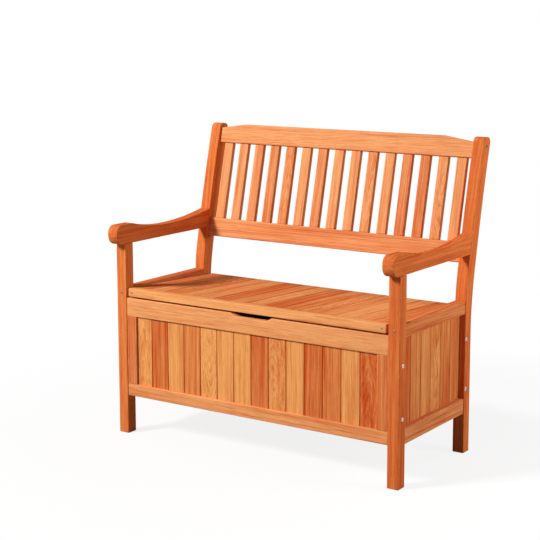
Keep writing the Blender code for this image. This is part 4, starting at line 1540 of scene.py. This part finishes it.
@dataclass
class Fasteners:
    """Bolts through the legs and screws in the lid, hinges and brackets."""

    bolts: LegBolts = field(default_factory=LegBolts)
    face_bolt: Fixing = field(default_factory=lambda: Fixing(3.5 * MM, 1.6 * MM, 1.8 * MM))
    screw: Fixing = field(default_factory=lambda: Fixing(2.9 * MM, 0.7 * MM, 1.6 * MM, 16, True))
    small_screw: Fixing = field(default_factory=lambda: Fixing(2.6 * MM, 0.45 * MM, 1.4 * MM, 16, True))
    face_height: float = 447 * MM
    lid_end: float = 14 * MM
    leaf_shares: tuple[float, ...] = (0.16, 0.5, 0.84)
    leaf_inset: float = 6.5 * MM
    bracket_shares: tuple[float, ...] = (0.28, 0.72)
    bracket_plate: float = 2.5 * MM
    foot_drop: float = 12 * MM
    head_inset: float = 9 * MM
    lean: float = field(default_factory=lid_lean)

    def build(self) -> None:
        """Make all the fasteners."""
        head, post_head = self.bolts.head, self.bolts.post_head
        for side, sign in SIDES:
            out = Vector((sign, 0, 0))
            places = [
                place - head.height * out
                for leg in ("front_leg", "rear_leg")
                for place in self.bolts.places(leg, side)
            ]
            self._drive(f"leg_bolts_{side}", head, places, out, PLATED)
            places = [place - post_head.height * out for place in self.bolts.places("post", side)]
            self._drive(f"post_bolt_{side}", post_head, places, out, DARK_BOLT)
            low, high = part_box(f"front_leg_{side}")
            places = [Vector(((low.x + high.x) / 2, low.y, self.face_height))]
            self._drive(f"front_leg_bolt_{side}", self.face_bolt, places, FORWARD, SCREW_STEEL)
        self._lid_screws()
        self._hinge_screws()
        self._bracket_screws()

    @staticmethod
    def _drive(
        name: str,
        kind: Fixing,
        places: Iterable[Vector],
        facing: Vector,
        finish: MetalFinish,
        body: str = "frame",
        lean: float = 0.0,
    ) -> None:
        """Make a piece of some like heads.

        Args:
            name: the piece's name.
            kind: what they are.
            places: the middles of their undersides, before they are leaned back.
            facing: the way that they look.
            finish: what they are finished with.
            body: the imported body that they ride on.
            lean: the angle that they lean back by.
        """
        heads = bmesh.new()
        for place in places:
            kind.add(heads, place, facing)
        bmesh.ops.transform(heads, matrix=turn_x(lean), verts=heads.verts)
        put_on_bench(name, heads, finish, body)

    def _lid_screws(self) -> None:
        """Make the screws near both ends of the lid's front rail."""
        low, high = node_box("lid_front_rail", self.lean)
        ends = (low.x + self.lid_end, high.x - self.lid_end)
        places = [Vector((end, low.y, (low.z + high.z) / 2)) for end in ends]
        self._drive("lid_front_screws", self.screw, places, FORWARD, SCREW_STEEL, "lid", self.lean)

    def _hinge_screws(self) -> None:
        """Make three screws in each hinge leaf."""
        leaves = (("hinge_leaf_frame", "frame", 0.0, 1), ("hinge_leaf_lid", "lid", self.lean, -1))
        for side, _ in SIDES:
            for leaf, body, angle, up in leaves:
                low, high = node_box(f"{leaf}_{side}", angle)
                level = self._plate_level(f"{leaf}_{side}", angle, up)
                places = [
                    Vector((across, low.y + self.leaf_inset, level))
                    for across in shared_out(low.x, high.x, self.leaf_shares)
                ]
                name = f"{leaf}_screws_{side}"
                self._drive(name, self.small_screw, places, up * UP, PLATED, body, angle)

    @staticmethod
    def _plate_level(node: str, lean: float, up: int) -> float:
        """Find the level of a hinge plate's open face, from the points at its front edge.

        Args:
            node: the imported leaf.
            lean: the angle that it leans back by.
            up: 1 if the face looks up, -1 if it looks down.

        Returns:
            The level.
        """
        places = node_points(node, lean)
        front = min(place.y for place in places)
        levels = [place.z for place in places if place.y < front + MM]
        return max(levels) if up > 0 else min(levels)

    def _bracket_screws(self) -> None:
        """Make two screws in each bracket of the stays."""
        for side, sign in SIDES:
            low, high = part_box(f"stay_foot_{side}")
            across = sign * (max(abs(low.x), abs(high.x)) - self.bracket_plate)
            rows = shared_out(low.y, high.y, self.bracket_shares)
            places = [Vector((across, row, high.z - self.foot_drop)) for row in rows]
            self._drive(f"stay_foot_screws_{side}", self.small_screw, places, Vector((-sign, 0, 0)), PLATED)

            low, high = node_box(f"stay_head_{side}", self.lean)
            across = (low.x if sign > 0 else high.x) + sign * self.head_inset
            rows = shared_out(low.y, high.y, self.bracket_shares)
            places = [Vector((across, row, high.z - self.bracket_plate)) for row in rows]
            name = f"stay_head_screws_{side}"
            self._drive(name, self.small_screw, places, -UP, PLATED, "lid", self.lean)


# Studio


def seen_rays(nodes: Nodes) -> Value:
    """Tell the rays that see the white room, straight or by a mirror or glass, from those that light it.

    Args:
        nodes: the node tree that the answer is for.

    Returns:
        1 for a ray that sees, 0 for one that lights.
    """
    rays = nodes.node("ShaderNodeLightPath").outputs
    camera, glossy, through = (
        Value(nodes, rays[f"Is {kind} Ray"]) for kind in ("Camera", "Glossy", "Transmission")
    )
    return (camera + glossy + through).held()


@dataclass
class Lamp:
    """A square lamp that looks at the bench."""

    name: str
    place: Corner
    size: float
    power: float
    colour: Colour = WHITE

    def light(self, target: Vector) -> None:
        """Add the lamp to the scene.

        Args:
            target: the place that it looks at.
        """
        data = bpy.data.lights.new(self.name, "AREA")
        data.size = self.size
        data.energy = self.power
        data.color = self.colour
        lamp = put_in_scene(self.name, data)
        lamp.location = self.place
        lamp.rotation_euler = (target - Vector(self.place)).to_track_quat("-Z", "Y").to_euler()
        lamp.visible_camera = False


@dataclass
class Studio:
    """White room: floor, world, lamps and the photo's camera."""

    target: Vector = field(default_factory=lambda: Vector((0.0, 0.0, 0.45)))
    ambient: float = 0.10
    floor_size: float = 30.0
    floor_seen: float = 0.95
    floor_bounce: float = 0.35
    floor_roughness: float = 0.9
    floor_gloss: float = 0.1
    shadow_share: float = 0.15
    shadow_reach: Pair = (0.7, 1.5)
    lens: float = 93.12
    camera_place: Corner = (2.2983, -3.4849, 1.3032)
    yaw: float = math.radians(33.659)
    pitch: float = math.radians(8.961)
    shift: Pair = (-0.0376, -0.07)
    lamps: tuple[Lamp, ...] = (
        Lamp("key", (-4.2, -6.2, 6.1), 1.9, 1015.0, (1.0, 0.985, 0.965)),
        Lamp("fill", (2.0, 0.45, 0.9), 0.8, 17.0),
        Lamp("rear", (2.6, 4.2, 1.8), 1.6, 40.0),
    )

    def build(self) -> None:
        """Make the room."""
        for lamp in self.lamps:
            lamp.light(self.target)
        self._floor()
        self._world()
        self._camera()
        bpy.context.scene.view_settings.view_transform = "Standard"

    def _floor(self) -> None:
        """Lay a pale floor that keeps the bench's shadow."""
        shape = bmesh.new()
        bmesh.ops.create_grid(shape, x_segments=1, y_segments=1, size=self.floor_size / 2)
        mesh = mesh_of("floor", shape)
        recipe = Recipe("floor_white")
        seen, bounce = ((grey, grey, grey) for grey in (self.floor_seen, self.floor_bounce))
        recipe.set(Base_Color=bounce, Roughness=self.floor_roughness, Specular_IOR_Level=self.floor_gloss)
        lit = recipe.node("ShaderNodeBsdfDiffuse", None, {"Color": seen}).outputs[0]
        white = recipe.node("ShaderNodeEmission", None, {"Color": WHITE, "Strength": 1.0}).outputs[0]
        away = recipe.length(recipe.place()).over(*self.shadow_reach)
        share = (1 - self.shadow_share) + away * self.shadow_share
        shown = recipe.node("ShaderNodeMixShader", None, {0: share, 1: lit, 2: white}).outputs[0]
        sockets = {0: seen_rays(recipe), 1: recipe.shader.outputs[0], 2: shown}
        mixed = recipe.node("ShaderNodeMixShader", None, sockets).outputs[0]
        recipe.feed(recipe.output.inputs["Surface"], mixed)
        mesh.materials.append(recipe.material)
        put_in_scene("floor", mesh)

    def _world(self) -> None:
        """Give the world a soft light and a white look."""
        world = bpy.data.worlds.new("white_room")
        world.use_nodes = True
        bpy.context.scene.world = world
        nodes = Nodes(world.node_tree)
        background = nodes.tree.nodes["Background"].inputs
        nodes.feed(background["Color"], WHITE)
        nodes.feed(background["Strength"], seen_rays(nodes) * (1 - self.ambient) + self.ambient)

    def _camera(self) -> None:
        """Set up the camera at the photo's viewing angle."""
        data = bpy.data.cameras.new("photo_camera")
        data.lens = self.lens
        data.shift_x, data.shift_y = self.shift
        camera = put_in_scene("photo_camera", data)
        camera.location = self.camera_place
        camera.rotation_euler = (math.pi / 2 - self.pitch, 0.0, self.yaw)
        bpy.context.scene.camera = camera


def main() -> None:
    """Build the looks of the bench."""
    logging.basicConfig(level=logging.INFO, format="%(name)s: %(message)s")
    assemblies = (Legs, Armrests, BackRest, Panels, Lid, Liner, Metalwork, Fasteners, Studio)
    for assembly in assemblies:
        LOG.info("building %s", assembly.__name__)
        assembly().build()


if __name__ == "__main__":
    main()
